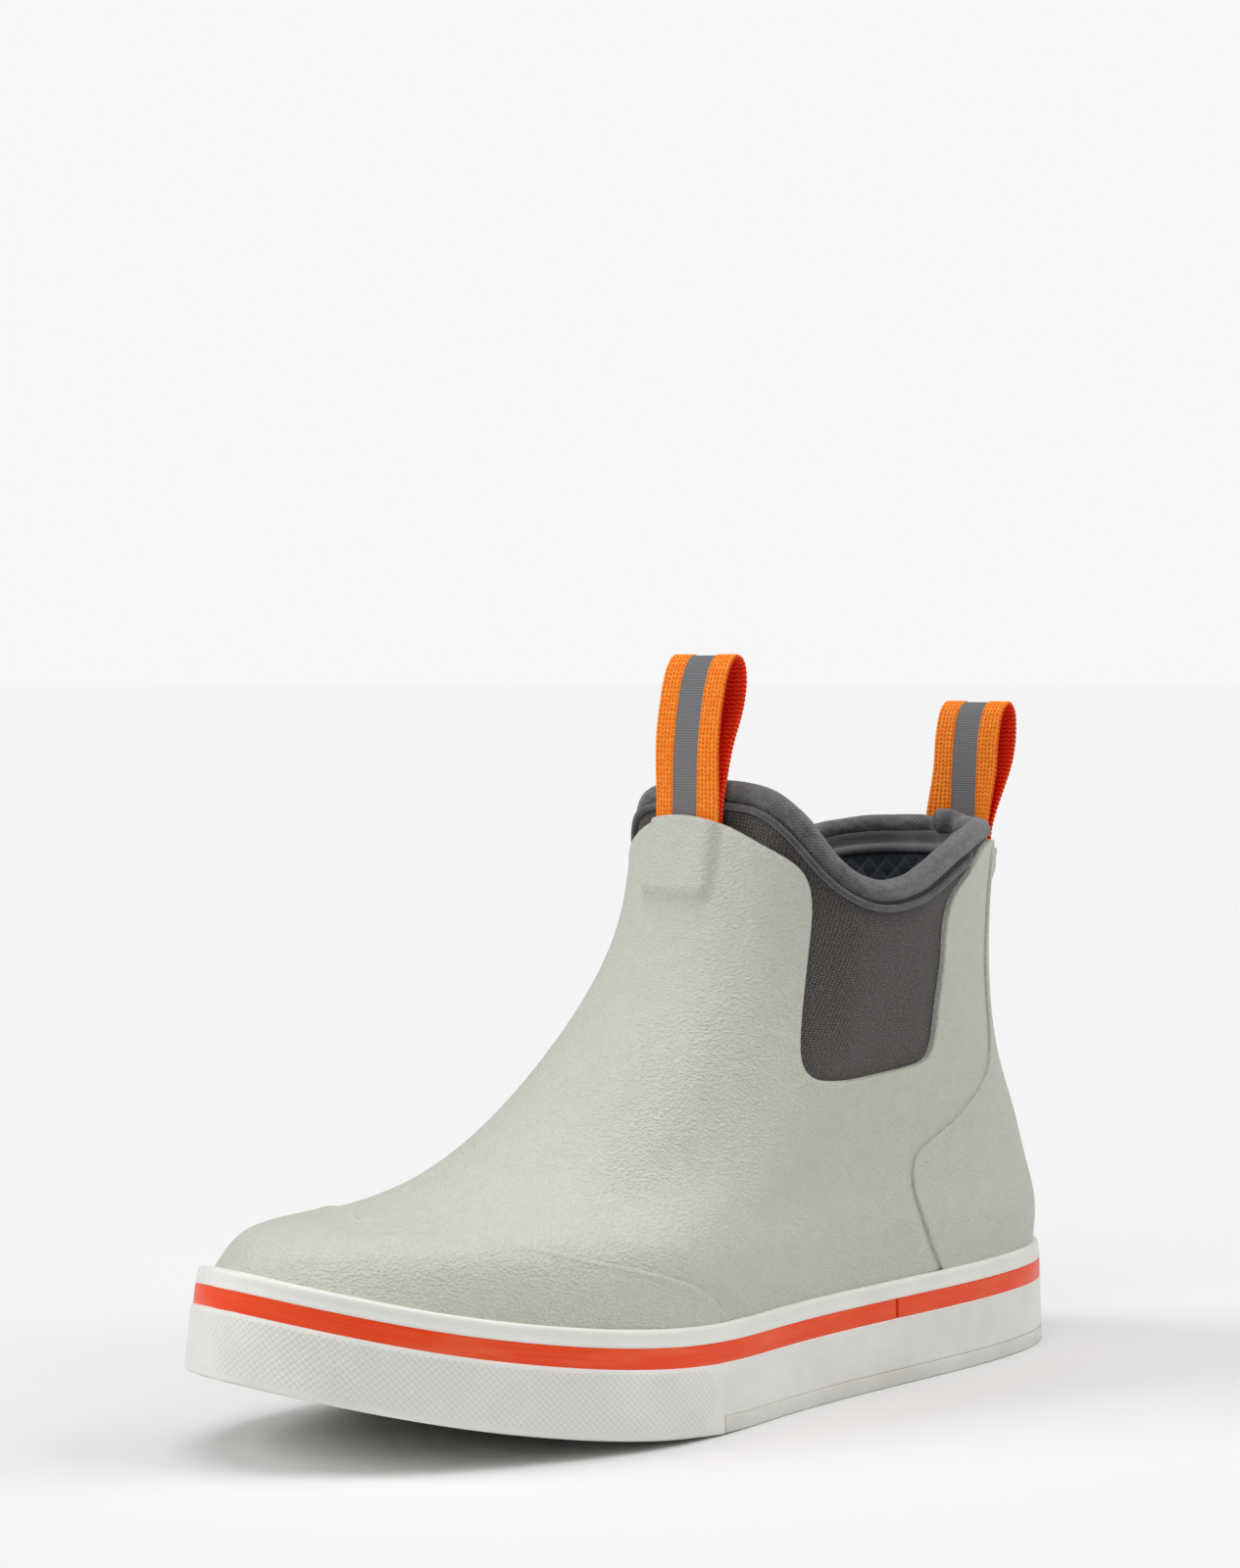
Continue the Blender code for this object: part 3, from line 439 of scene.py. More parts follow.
def toned(colour, share):
    """The colour with its brightness multiplied, up to white."""
    return (*[min(1, c * share) for c in colour[:3]], 1.0)


def rubber_material(name, colour, dark, crease=1.0):
    """Matte calendered rubber with a fine leather grain: pebbles, and creases where it bends."""
    n = Nodes(name, 0.55)
    place = n.place()
    leather = n.scaled(place, (1.0, 0.72, 1.25))
    pebbles = n.cells(leather, 1200, 0.45)
    fine = n.noise(place, 2300, 3, 0.6)
    wrinkle = n.noise(n.scaled(place, (1.0, 0.6, 1.8)), 760, 4, 0.65, 0.9)
    patches = n.noise(place, 28, 2, 0.5)
    creased = n.map(patches, 0.42, 0.6, 0.25, 1.0)
    ridges = n.math("MULTIPLY", wrinkle, creased)
    height = n.total((pebbles, 0.9), (fine, 0.22), (ridges, 1.1 * crease))
    tone = n.total((n.noise(place, 210, 3), 0.75), (patches, 0.25))
    body = n.mix(n.map(tone, 0.3, 0.75), dark, colour)
    # Painted shade: the grain's low hollows are tinted darker and its tops a little lighter.
    grain_hollow_shade = n.map(height, 0.4, 1.3)
    shade = n.mix(0.4, body, n.mix(grain_hollow_shade, dark, toned(colour, 1.05)))
    rough = n.map(n.noise(place, 340, 2), 0.3, 0.7, 0.48, 0.62)
    return n.finish(shade, rough, height, 0.42, 0.9)


def wall_material(name, colour, dark, scuffs=0.35, worked=False):
    """Smooth vulcanised rubber: faint pressing marks, a little handling grime, and, when worked,
    painted shade in the knurl's grooves.
    """
    n = Nodes(name, 0.5)
    place = n.place()
    marks = n.noise(n.scaled(place, (0.35, 0.35, 2.2)), 240, 4, 0.6)
    fine = n.noise(place, 2600, 2, 0.6)
    grime = n.noise(place, 46, 5, 0.62)
    body = n.mix(n.map(grime, 0.38, 0.72), colour, dark)
    body = n.mix(n.map(marks, 0.5, 0.8, 0, scuffs), body, dark)
    if worked:
        # Painted shade: where crown is low, in the knurl's grooves, the colour is darkened.
        body = n.mix(n.map(n.value("crown"), 0.0, 0.6, 0.5, 0), body, toned(dark, 0.74))
    height = n.total((marks, 0.6), (fine, 0.4))
    rough = n.map(marks, 0.3, 0.7, 0.42, 0.58)
    return n.finish(body, rough, height, 0.08, 0.5)


def stripe_material(name):
    """Painted orange-red rubber tape: long pale streaks along it, pale patches of painted
    highlight, and a soft gloss.
    """
    n = Nodes(name, 0.4, {"Specular IOR Level": 0.35})
    streaks = n.yarns(0.035, 1.15, 4, 0.62)
    painted_highlight_patches = n.yarns(0.03, 0.12, 3, 0.55)
    fine = n.yarns(0.4, 4.0, 2, 0.5)
    body = n.mix(n.map(streaks, 0.42, 0.66), rgb(248, 70, 18), rgb(248, 84, 36))
    # Painted highlight: pale patches along the tape stand in for its gloss.
    body = n.mix(n.map(painted_highlight_patches, 0.5, 0.75, 0, 0.6), body, rgb(248, 124, 80))
    height = n.total((streaks, 0.7), (fine, 0.3))
    rough = n.map(painted_highlight_patches, 0.35, 0.65, 0.34, 0.5)
    return n.finish(body, rough, height, 0.1, 0.45)


# Pitches of the knit's columns and rows, of the binding's twill and of the grey stripe's ribs.
WALE, COURSE = 1.2, 0.95
TWILL, TWILL_TURN = 2 * math.pi / 7.2, 0.6
RIB, RIB_WARP = 0.72, 0.5


def knit_material(name, colour, dark):
    """Fine jersey over foam: small loops in rows, with flecks of lighter yarn and fuzz."""
    n = Nodes(name, 0.92, {"Sheen Weight": 0.25, "Sheen Roughness": 0.5})
    x, y = n.across_and_along(n.cloth())
    ribs = n.wave(n.total((n.yarns(0.3, 0.3, 2, 0.5), 0.35), (x, 1)), WALE)
    loops = n.wave(n.total((n.math("ABSOLUTE", ribs), 0.28 * COURSE), (y, 1)), COURSE)
    fleck, fuzz = n.yarns(1.2, 1.6, 3, 0.7), n.yarns(3.2, 3.2, 3, 0.7)
    height = n.total((ribs, 0.35), (loops, 0.5), (fleck, 1), (fuzz, 0.4))
    # Darker where the knit is low: random yarn tone, and painted shade in the hollows between its
    # loops.
    body = n.mix(n.map(height, 0.25, 1.35), dark, colour)
    body = n.mix(n.map(fleck, 0.5, 0.7, 0, 0.6), body, toned(colour, 2.3))
    return n.finish(body, None, height, 0.42, 0.9)


def brushed_material(name, colour, dark):
    """Brushed knit tape: soft short fibres over a faint slanting twill."""
    n = Nodes(name, 0.95, {"Sheen Weight": 0.5, "Sheen Roughness": 0.45})
    slant, _ = n.across_and_along(n.scaled(n.cloth(), (1, 1, 1), TWILL_TURN))
    twill = n.wave(slant, TWILL)
    fibre = n.yarns(1.0, 2.6, 4, 0.72, 1.3)
    height = n.total((n.yarns(0.28, 0.5, 3, 0.6), 1), (fibre, 1), (twill, 0.12))
    # Darker where the cloth is low: random fibre tone, and painted shade in the twill's hollows.
    body = n.mix(n.map(height, 0.7, 1.3), dark, colour)
    return n.finish(body, None, height, 0.45, 0.9)


def webbing_material(name, front, deep, hollow_shade, inner, inner_hollow_shade):
    """Polyester webbing: bright raised yarns with painted shade in the hollows between them, and a
    red inner face, painted deeper as it looks in shade.
    """
    n = Nodes(name, 0.6, {"Specular IOR Level": 0.2})
    crown = n.value("crown")
    fibre = n.yarns(7.0, 2.0, 3, 0.7)
    body = n.mix(n.map(n.yarns(0.7, 0.66, 1, 0.5), 0.35, 0.65), deep, front)
    # Painted shade: the weave's hollows, where crown is low, are given a darker colour.
    body = n.mix(n.map(crown, 0.15, 0.75), hollow_shade, body)
    body = n.mix(n.map(fibre, 0.55, 0.8, 0, 0.25), body, toned(front, 1.25))
    # Painted shade: the loop's inner face is coloured a deeper red, as it looks in shade, with
    # painted shade in its hollows too.
    behind = n.mix(n.map(crown, 0.25, 0.85), inner_hollow_shade, inner)
    body = n.mix(n.value("inside"), body, behind)
    return n.finish(body, n.map(crown, 0, 1, 0.8, 0.52), fibre, 0.09, 0.5)


def ribbed_material(name, colour, dark):
    """Grey woven centre stripe: fine cross ribs with a slight sparkle."""
    n = Nodes(name, 0.5)
    x, y = n.across_and_along(n.cloth())
    fleck = n.yarns(2.6, 1.7, 3, 0.75, 1.2)
    height = n.total((n.wave(x, RIB_WARP), 0.14), (n.wave(y, RIB), 0.26), (fleck, 1.7))
    # Darker where the cloth is low: random yarn tone, and painted shade in the hollows between its
    # ribs.
    body = n.mix(n.map(height, 0.35, 1.35), dark, colour)
    rough = n.map(fleck, 0.4, 0.7, 0.42, 0.68)
    return n.finish(body, rough, height, 0.14, 0.8)


def weave_material(name, colour, dark, pitch, seams=None):
    """Plain woven cloth, with paler stitched seams where its quilting is drawn down."""
    n = Nodes(name, 0.85, {"Sheen Weight": 0.2})
    x, y = n.across_and_along(n.cloth())
    checks = n.math("MULTIPLY", n.wave(x, pitch), n.wave(y, pitch))
    height = n.total((n.yarns(1.5, 1.5, 3, 0.65), 1), (checks, 0.3))
    # Darker where the cloth is low: random yarn tone, and painted shade in the hollows of the
    # weave.
    body = n.mix(n.map(height, 0.2, 0.9), dark, colour)
    if seams:
        body = n.mix(n.map(n.value("crown"), 0.25, 0.62, 0.75, 0), body, seams)
    return n.finish(body, None, height, 0.16, 0.7)


def foam_material(name, colour, dark):
    """Open-cell foam."""
    n = Nodes(name, 0.9)
    cells = n.cells(n.place(), 1400, 0.2)
    # Painted shade: the foam's pores, low in the bump, are tinted darker.
    body = n.mix(n.map(cells, 0.1, 0.6), dark, colour)
    return n.finish(body, None, cells, 0.2, 0.6)


RUBBER = rubber_material("sage_rubber", rgb(209, 209, 197), rgb(199, 199, 186))
OVERLAY_RUBBER = rubber_material("sage_overlay", rgb(209, 209, 198), rgb(199, 199, 187), 0.7)
WALL = wall_material("wall_rubber", rgb(241, 240, 235), rgb(230, 229, 222))
BUMPER = wall_material("bumper_rubber", rgb(241, 240, 235), rgb(231, 230, 223), 0.25, True)
OUTSOLE = wall_material("outsole_rubber", rgb(229, 228, 222), rgb(214, 212, 205), 0.5)
STRIPE = stripe_material("stripe_rubber")
NEOPRENE = knit_material("neoprene_knit", rgb(98, 92, 88), rgb(38, 35, 33))
BINDING = brushed_material("binding_knit", rgb(128, 127, 129), rgb(66, 65, 67))
PIPING = brushed_material("piping_knit", rgb(96, 94, 95), rgb(62, 60, 61))
FACING = weave_material("facing_cloth", rgb(146, 145, 148), rgb(98, 98, 101), 0.7)
LINING = weave_material("lining_cloth", rgb(72, 82, 96), rgb(40, 46, 56), 0.6,
                        rgb(118, 126, 138))
COVER = weave_material("footbed_cloth", rgb(66, 70, 76), rgb(40, 43, 48), 0.9)
FOAM = foam_material("footbed_foam", rgb(92, 96, 98), rgb(70, 73, 76))
# Webbing colours: front and deep, then painted shade for the hollows, and the inner face and its
# hollows painted a deeper red, as they look in shade.
WEBBING = webbing_material("orange_webbing", rgb(255, 156, 48), rgb(255, 130, 20),
                           rgb(224, 78, 6), rgb(255, 82, 32), rgb(228, 26, 8))
GREY_STRIPE = ribbed_material("grey_stripe", rgb(138, 137, 141), rgb(88, 87, 91))

# ---------------------------------------------------------------- patches of the upper

# Rough millimetres for a radian round the leg, and for the whole of q.
SCALE_T, SCALE_Q = 55.0, 135.0


def curve_in_tq(points, count, flat_start=False, flat_end=False):
    """A line given in side view as a smooth line of (t, q) on the outer side. A flat start or
    end crosses the front or the back squarely."""
    reach = np.array([SCALE_T, 1.0])
    tz = np.array([(angle_at(x, z), z) for x, z in points])
    if flat_start:
        tz[0, 0] = 0
        tz = np.vstack([[-tz[1, 0], tz[1, 1]], tz])
    if flat_end:
        tz = np.vstack([tz, [2 * np.pi - tz[-2, 0], tz[-2, 1]]])
    line = open_curve(tz * reach, count) / reach
    line = line[(line[:, 0] >= 0) & (line[:, 0] <= np.pi)]
    if flat_start:
        line = np.vstack([[0, np.interp(0, line[:3, 0], line[:3, 1])], line])
    if flat_end:
        line = np.vstack([line, [np.pi, line[-1, 1]]])
    return np.column_stack([line[:, 0], q_at_height(line[:, 0], line[:, 1])])


def mirrored(line):
    """The line and its copy on the inner side, as one line from -180 to 180 degrees."""
    other = line[::-1] * [-1, 1]
    return np.vstack([other[:-1] if line[0, 0] == 0 else other, line])


def inside(polygon, t, q):
    """Which of the points lie inside a polygon in (t, q)."""
    found = np.zeros(t.shape, bool)
    start, end = polygon, np.roll(polygon, -1, 0)
    for (t0, q0), (t1, q1) in zip(start, end):
        if q0 == q1:
            continue
        crossed = (q0 > q) != (q1 > q)
        if crossed.any():
            found ^= crossed & (t < (t1 - t0) * (q - q0) / (q1 - q0) + t0)
    return found


def distance_to(line, t, q):
    """Distance in millimetres, roughly, from points in (t, q) to a line."""
    tree = kdtree.KDTree(len(line))
    for i, (a, b) in enumerate(line):
        tree.insert((a * SCALE_T, b * SCALE_Q, 0), i)
    tree.balance()
    away = np.empty(t.size)
    for i, (a, b) in enumerate(zip(t.ravel(), q.ravel())):
        spot = Vector((a * SCALE_T, b * SCALE_Q, 0))
        near, k, _ = tree.find(spot)
        best = (near - spot).length
        for j in (k - 1, k + 1):
            if 0 <= j < len(line):
                other = Vector((line[j][0] * SCALE_T, line[j][1] * SCALE_Q, 0))
                span = other - near
                share = np.clip((spot - near).dot(span) / max(span.length_squared, 1e-9), 0, 1)
                best = min(best, (near + span * share - spot).length)
        away[i] = best
    return away.reshape(t.shape)


def corners_of(grid):
    """The values at the four corners of each cell of a grid."""
    return np.stack([grid[:-1, :-1], grid[:-1, 1:], grid[1:, 1:], grid[1:, :-1]], -1)


def cut_patch(t_values, q_values, polygon, line):
    """Grid of (t, q) whose faces stop exactly on the line round the polygon's inside."""
    t, q = np.meshgrid(t_values, q_values)
    rows, columns = t.shape
    kept = inside(polygon, t, q)
    near = np.zeros(t.shape, bool)
    upwards, sideways = kept[1:] != kept[:-1], kept[:, 1:] != kept[:, :-1]
    near[1:] |= upwards
    near[:-1] |= upwards
    near[:, 1:] |= sideways
    near[:, :-1] |= sideways
    signed = np.full(t.shape, 9.0)
    signed[near] = distance_to(line, t[near], q[near])
    signed = np.where(kept, signed, -signed)
    move = {}
    for dr, dc in ((1, 0), (0, 1)):
        first = signed[: rows - dr, : columns - dc]
        second = signed[dr:, dc:]
        for r, c in zip(*np.nonzero((first > 0) != (second > 0))):
            a, b = (r, c), (r + dr, c + dc)
            share = signed[a] / (signed[a] - signed[b])
            spot = (t[a] + (t[b] - t[a]) * share, q[a] + (q[b] - q[a]) * share)
            node, gap = (a, share) if share < 0.5 else (b, 1 - share)
            if node not in move or gap < move[node][0]:
                move[node] = (gap, spot)
    on = np.zeros(t.shape, bool)
    for node, (_, spot) in move.items():
        t[node], q[node] = spot
        on[node] = True
    corners = corners_of(np.arange(rows * columns).reshape(rows, columns))
    fine, held = corners_of(kept | on), corners_of(on).sum(-1)
    count = fine.sum(-1)
    quads = corners[(count == 4) & (held < 4)]
    three = (count == 3) & (held < 3)
    triangles = np.array([[k for k, ok in zip(quad, which) if ok]
                          for quad, which in zip(corners[three], fine[three])]).reshape(-1, 3)
    return t, q, on, quads, triangles


def patch_object(name, node, t_values, q_values, polygon, line, place, lip, material, bead=0.0):
    """Sheet over the upper that ends in a rounded lip along the line, with a low bead beside it.
    place(t, q) gives the points and normals of its face."""
    t, q, on, quads, triangles = cut_patch(t_values, q_values, polygon, line)
    points, normals = place(t, q)
    away = distance_to(line, t, q)
    points = points + normals * (bead * np.exp(-((away - 0.55) / 0.65) ** 2))[..., None]
    points, normals, on = points.reshape(-1, 3), normals.reshape(-1, 3), on.ravel()
    edges = {}
    for face in [*quads.tolist(), *triangles.tolist()]:
        for a, b in zip(face, face[1:] + face[:1]):
            if (b, a) in edges:
                del edges[(b, a)]
            else:
                edges[(a, b)] = True
    rim = [(a, b) for a, b in edges if on[a] and on[b]]
    away = np.zeros_like(points)
    for a, b in rim:
        out = np.cross(points[b] - points[a], normals[a] + normals[b])
        away[a] += out
        away[b] += out
    used = sorted({k for pair in rim for k in pair})
    spread = {k: [] for k in used}
    for a, b in rim:
        spread[a].append(b)
        spread[b].append(a)
    for _ in range(2):
        fresh = {k: unit(away[k]) + sum(unit(away[j]) for j in spread[k]) for k in used}
        for k in used:
            away[k] = fresh[k]
    strip = {k: i for i, k in enumerate(used)}
    rings = [points]
    for out, down in lip:
        rings.append(points[used] + unit(away[used]) * out - normals[used] * down)

    def at_level(k, level):
        return k if level == 0 else len(points) + (level - 1) * len(used) + strip[k]

    lip_faces = [(at_level(b, level), at_level(a, level), at_level(a, level + 1),
                  at_level(b, level + 1)) for level in range(len(lip)) for a, b in rim]
    every = np.vstack(rings)
    faces = [np.asarray(f) for f in (quads, triangles, lip_faces) if len(f)]
    shown = np.zeros(len(every), bool)
    for f in faces:
        shown[f.ravel()] = True
    renumber = np.cumsum(shown) - 1
    ride_as(mesh_object(name, every[shown], [renumber[f] for f in faces], material), node)


# The rubber sinks under the toe cap and the counter, and the overlays stand a little proud.
RELIEF, RELIEF_FADE, OVERLAY_RISE = 0.55, 9.0, 0.3
POCKET_RISE, RIDGE_RISE, LEG_MIDDLE = 2.3, 0.28, -60
FRONT_DENT, BACK_DENT = 2.6, 3.0
BOOTIE_START, NEOPRENE_DEPTH, NEOPRENE_T = 70.0, 1.75, 3.4
LINING_START, LINING_DEPTH, QUILT = 44.0, 6.6, 6.2

cap_x, cap_z = (np.array(v) for v in zip(*TOE_CAP_EDGE))
edge_x, edge_z = (np.array(v) for v in zip(*COUNTER_EDGE))


def overlay_share(points):
    """1 where the toe cap or the counter covers the rubber, falling to 0 past its edge."""
    x, z = points[..., 0], points[..., 2]
    above_cap = np.maximum(z - np.interp(x, cap_x, cap_z), cap_x[0] - x)
    beyond_cap = np.where(x > TOE_CAP_TOP_X, 0, above_cap)
    ahead = x - np.interp(z, edge_z, edge_x)
    return ramp(np.minimum(beyond_cap, ahead), RELIEF_FADE, 0)


def pocket_rise(points):
    """Height of the rubber over the sewn-down ends of the webbing."""
    x, y, z = np.moveaxis(points, -1, 0)
    y = np.abs(y)
    front = ramp(y, 14.9, 10.5) * ramp(z, 137.8, 141.4) * (x > LEG_MIDDLE)
    ridge = np.exp(-((z - 141.6) / 1.1) ** 2) * ramp(y, 13.5, 10.5) * (x > LEG_MIDDLE)
    back = ramp(y, 15.4, 11.0) * ramp(z, 136, 144) * (x < LEG_MIDDLE)
    return POCKET_RISE * (front + back) + RIDGE_RISE * ridge


def rubber_face(t, q):
    points, normals = upper_at(t, q)
    rise = pocket_rise(points) - RELIEF * overlay_share(points)
    return points + normals * rise[..., None], normals


def overlay_face(t, q):
    points, normals = upper_at(t, q)
    return points + normals * (pocket_rise(points) + OVERLAY_RISE)[..., None], normals


# How far each lip goes out past its edge and down from its face.
RUBBER_LIP = [(0.18, 0.03), (0.34, 0.13), (0.46, 0.30), (0.52, 0.55), (0.54, 0.9), (0.54, 2.6)]
OVERLAY_LIP = [(0.16, 0.03), (0.3, 0.14), (0.38, 0.34), (0.4, 0.6), (0.4, 1.3)]
RUBBER_BEAD, OVERLAY_BEAD = 0.22, 0.26
# The overlays' outlines close below the wall, out of sight.
BELOW = -0.1


def overlay(name, node, t_values, q_values, line):
    patch_object(name, node, t_values, q_values, line, line, overlay_face, OVERLAY_LIP,
                 OVERLAY_RUBBER, OVERLAY_BEAD)


def make_upper():
    """The rubber with its windows, the toe cap and the heel counter."""
    rear_top = [(-118, RUBBER_REAR_TOP), (-127.5, RUBBER_REAR_TOP)]
    line = mirrored(curve_in_tq(RUBBER_EDGE + rear_top, 700, flat_start=True, flat_end=True))
    polygon = np.vstack([line, [[np.pi, 2 * BELOW], [-np.pi, 2 * BELOW]]])
    patch_object("rubber_upper", "rubber_shell", np.linspace(-np.pi, np.pi, 541),
                 np.linspace(0, 0.9, 190), polygon, line, rubber_face, RUBBER_LIP, RUBBER,
                 RUBBER_BEAD)

    q = np.linspace(0, 0.6, 400)
    ridge = upper_point(0.0, np.interp(-TOE_CAP_TOP_X, -RING_AT(q)[:, 0], q))
    edge = [(ridge[0], ridge[2])] + TOE_CAP_EDGE[::-1]
    half = curve_in_tq(edge, 700, flat_start=True)
    line = mirrored(np.vstack([half, [half[-1, 0] + 0.02, BELOW]]))
    overlay("toe_cap_skin", "toe_cap", np.linspace(-1.75, 1.75, 420), np.linspace(0, 0.34, 130),
            line)

    top = COUNTER_TOP + 0.3
    points = COUNTER_EDGE + [(-115.2, 147.6), (-117.5, COUNTER_TOP), (-122, top), (-127.4, top)]
    edge = curve_in_tq(points, 900, flat_end=True)
    edge = np.vstack([[edge[0, 0] - 0.02, BELOW], edge])
    line = np.vstack([edge, edge[::-1] * [-1, 1] + [2 * np.pi, 0]])
    overlay("heel_counter_skin", "heel_counter", np.linspace(1.5, 2 * np.pi - 1.5, 420),
            np.linspace(0, 0.88, 190), line)


# ---------------------------------------------------------------- socks and collar


def dent(t, under_edge):
    """How far the bootie is pressed in behind the two pull tabs."""
    turn = np.degrees(turn_of(t))
    front = FRONT_DENT * ramp(turn, 30, 16)
    back = BACK_DENT * ramp(turn, 140, 158)
    return (front + back) * ramp(under_edge, 17, 7)


def sock(t, share, start_z, depth, edge_rise=0.5):
    """Points of a layer of the upper from a height to the collar's edge, and their normals."""
    top = seam_height(t) + edge_rise
    z = start_z + (top - start_z) * share
    points, normals = upper_at(t, q_at_height(t, z))
    moved = points - normals * (depth + dent(t, top - z))[..., None]
    return moved, normals, top - z


def leg_grid(columns, rows):
    """Angles round the leg, and a grid of them by the share of a layer's height."""
    t = np.linspace(0, 2 * np.pi, columns + 1)
    return t, *np.meshgrid(t[:-1], np.linspace(0, 1, rows))


def around_lengths(t):
    """Distance round the leg to each angle, measured at the collar."""
    ring = upper_point(t, 0.85)
    return lengths_along(ring)


def layer_object(name, node, shown, hidden, t, z, material, turn=-1):
    """Closed layer round the leg: up its shown face, then down its hidden face."""
    faces, r, c = grid_faces(2 * len(z), len(t) - 1, True, True)
    up = np.concatenate([z[:, 0], z[::-1, 0], z[:1, 0]])
    uv = grid_uv(r, c, around_lengths(t), up)
    made = mesh_object(name, np.concatenate([shown, hidden[::-1]]), [faces[:, ::turn]], material,
                       [uv[:, ::turn]])
    ride_as(made, node)
    return made


def make_bootie():
    """Neoprene sock: fuller in the windows and drawn in under the collar's seam."""
    t, grid_t, share = leg_grid(420, 120)
    outer, normals, below = sock(grid_t, share, BOOTIE_START, NEOPRENE_DEPTH)
    x, z = outer[..., 0], outer[..., 2]
    window = ramp(x, -24, -38) * ramp(x, -78, -66)
    puff = 0.9 * window * ramp(z, 90, 104) * ramp(below, 0, 9)
    puff -= 0.55 * np.exp(-((below - 0.2) / 1.3) ** 2)
    waves = np.sin(x * 0.21 + z * 0.05) * np.sin(z * 0.16 + 1.3) * 0.12
    outer = outer + normals * (puff + waves * ramp(below, 0, 12))[..., None]
    layer_object("neoprene_bootie_cloth", "neoprene_bootie", outer, outer - normals * NEOPRENE_T,
                 t, outer[..., 2], NEOPRENE, 1)


def make_lining():
    """Quilted sock: diamonds of padding between stitched lines, open at the collar."""
    t, grid_t, share = leg_grid(560, 230)
    face, normals, below = sock(grid_t, share, LINING_START, LINING_DEPTH)
    lengths = around_lengths(t)
    u = np.broadcast_to(lengths[:-1], grid_t.shape) * round(lengths[-1] / QUILT) * QUILT
    u = u / lengths[-1]
    v = face[..., 2]
    first = np.abs(np.sin((u + v) * np.pi / QUILT))
    second = np.abs(np.sin((u - v) * np.pi / QUILT))
    pillow = np.minimum(first, second) ** 0.45
    height = 0.75 * pillow * ramp(below, 0, 3)
    made = layer_object("quilted_lining_cloth", "quilted_lining",
                        face - normals * height[..., None], face + normals * 0.8, t, v, LINING)
    set_values(made, "crown", np.concatenate([pillow, np.ones_like(pillow)]))


def swept(name, path, sides, widths, heights, material, lumps=0.0):
    """Tube with its own sideways and upright half sizes at each point of the path."""
    centre, out, up = path
    count = len(centre)
    turns = np.linspace(0, 2 * np.pi, sides, endpoint=False)
    ring_out = np.cos(turns)[None, :, None] * out[:, None, :] * np.reshape(widths, (-1, 1, 1))
    ring_up = np.sin(turns)[None, :, None] * up[:, None, :] * np.reshape(heights, (-1, 1, 1))
    along = lengths_along(centre)[:, None]
    wave = np.sin(along * 0.37 + 2 * np.sin(turns)) * np.sin(along * 0.113 + turns)
    points = centre[:, None, :] + (ring_out + ring_up) * (1 + lumps * wave)[..., None]
    faces, r, c = grid_faces(count, sides, True)
    around = np.linspace(0, 2 * np.pi * np.mean(widths), sides + 1)
    groups, uvs = [faces[:, ::-1]], [np.stack([along[r, 0], around[c]], -1)[:, ::-1]]
    base = count * sides
    for row, tip, flip in ((0, base, 1), (count - 1, base + 1, -1)):
        ring = row * sides + np.arange(sides)
        groups.append(np.stack([ring, np.roll(ring, -1), np.full(sides, tip)], 1)[:, ::flip])
        uvs.append(np.zeros((sides, 3, 2)) + [along[row, 0], 0])
    flat = np.vstack([points.reshape(-1, 3), points[0].mean(0), points[-1].mean(0)])
    return mesh_object(name, flat, groups, material, uvs)


FACING_BAND, ROLL_SHARE = 6.6, 0.42


def collar_path(t, depth, rise):
    """Points along the collar's edge with their outward and upright directions."""
    (edge, normals, _), (ahead, _, _), (behind, _, _) = (
        sock(t + step, np.ones_like(t), BOOTIE_START, 0.0) for step in (0, 0.01, -0.01))
    run = unit(ahead - behind)
    up = unit(np.cross(normals, run))
    out = unit(np.cross(run, up))
    sunk = edge - normals * np.reshape(depth, (-1, 1))
    return sunk + up * np.reshape(rise, (-1, 1)), out, up


def make_binding():
    """The roll starts and ends at the back, where one end laps over the other in a soft hump."""
    degrees = np.linspace(-176.5, 187.5, 640)
    lap = ramp(degrees, 163, 180)
    tuck = ramp(degrees, -158, -172)
    path = collar_path(np.radians(degrees), 4.7 + 2.6 * lap - 0.4 * tuck,
                       2.5 + 1.5 * lap - 1.3 * tuck)
    ends = arc(np.clip((degrees - 184.0) / 3.5, 0, 1), 0.02)
    ends *= arc(np.clip((-173.5 - degrees) / 3.0, 0, 1), 0.02)
    made = swept("collar_binding_roll", path, 28, (3.6 + 0.5 * lap) * ends,
                 (3.3 + 0.35 * lap) * ends, BINDING, 0.035)
    ride_as(made, "collar_binding")


def make_piping():
    """Bead below the binding, tucked in behind the rubber towards the back."""
    degrees = np.linspace(-122, 122, 560)
    tuck = ramp(np.abs(degrees), 113, 121)
    path = collar_path(np.radians(degrees), 0.95 + 2.2 * tuck, -1.75)
    made = swept("collar_piping_bead", path, 14, np.full(560, 1.05), np.full(560, 1.0), PIPING)
    ride_as(made, "collar_piping")


def make_facing():
    """Band inside the collar, with a stitched roll along its lower edge."""
    t, grid_t, share = leg_grid(420, 26)
    top = seam_height(grid_t) + 1.2
    z = top - FACING_BAND * (1 - share)
    face, normals = upper_at(grid_t, q_at_height(grid_t, z))
    pressed = dent(grid_t, top - z)
    depth = 7.5 + pressed
    roll = arc(2 * np.clip(share / ROLL_SHARE, 0, 1) - 1) * 1.1
    depth += np.where(share < ROLL_SHARE, roll, 0) + 0.5 * ramp(share, 0.5, 0.9)
    layer_object("collar_facing_band", "collar_facing", face - normals * depth[..., None],
                 face - normals * (6.2 + pressed)[..., None], t, z, FACING)


# ---------------------------------------------------------------- sole

WALL_COLUMNS = 1500
STRIPE_LOW, STRIPE_HIGH = 0.65, 0.84
STRIPE_LAP = (110.7, 111.05)
BUMPER_TURN, BUMPER_T = 79.2, 2.4
KNURL_PITCH, KNURL_ROW, KNURL_RISE = 2.05, 1.85, 0.36


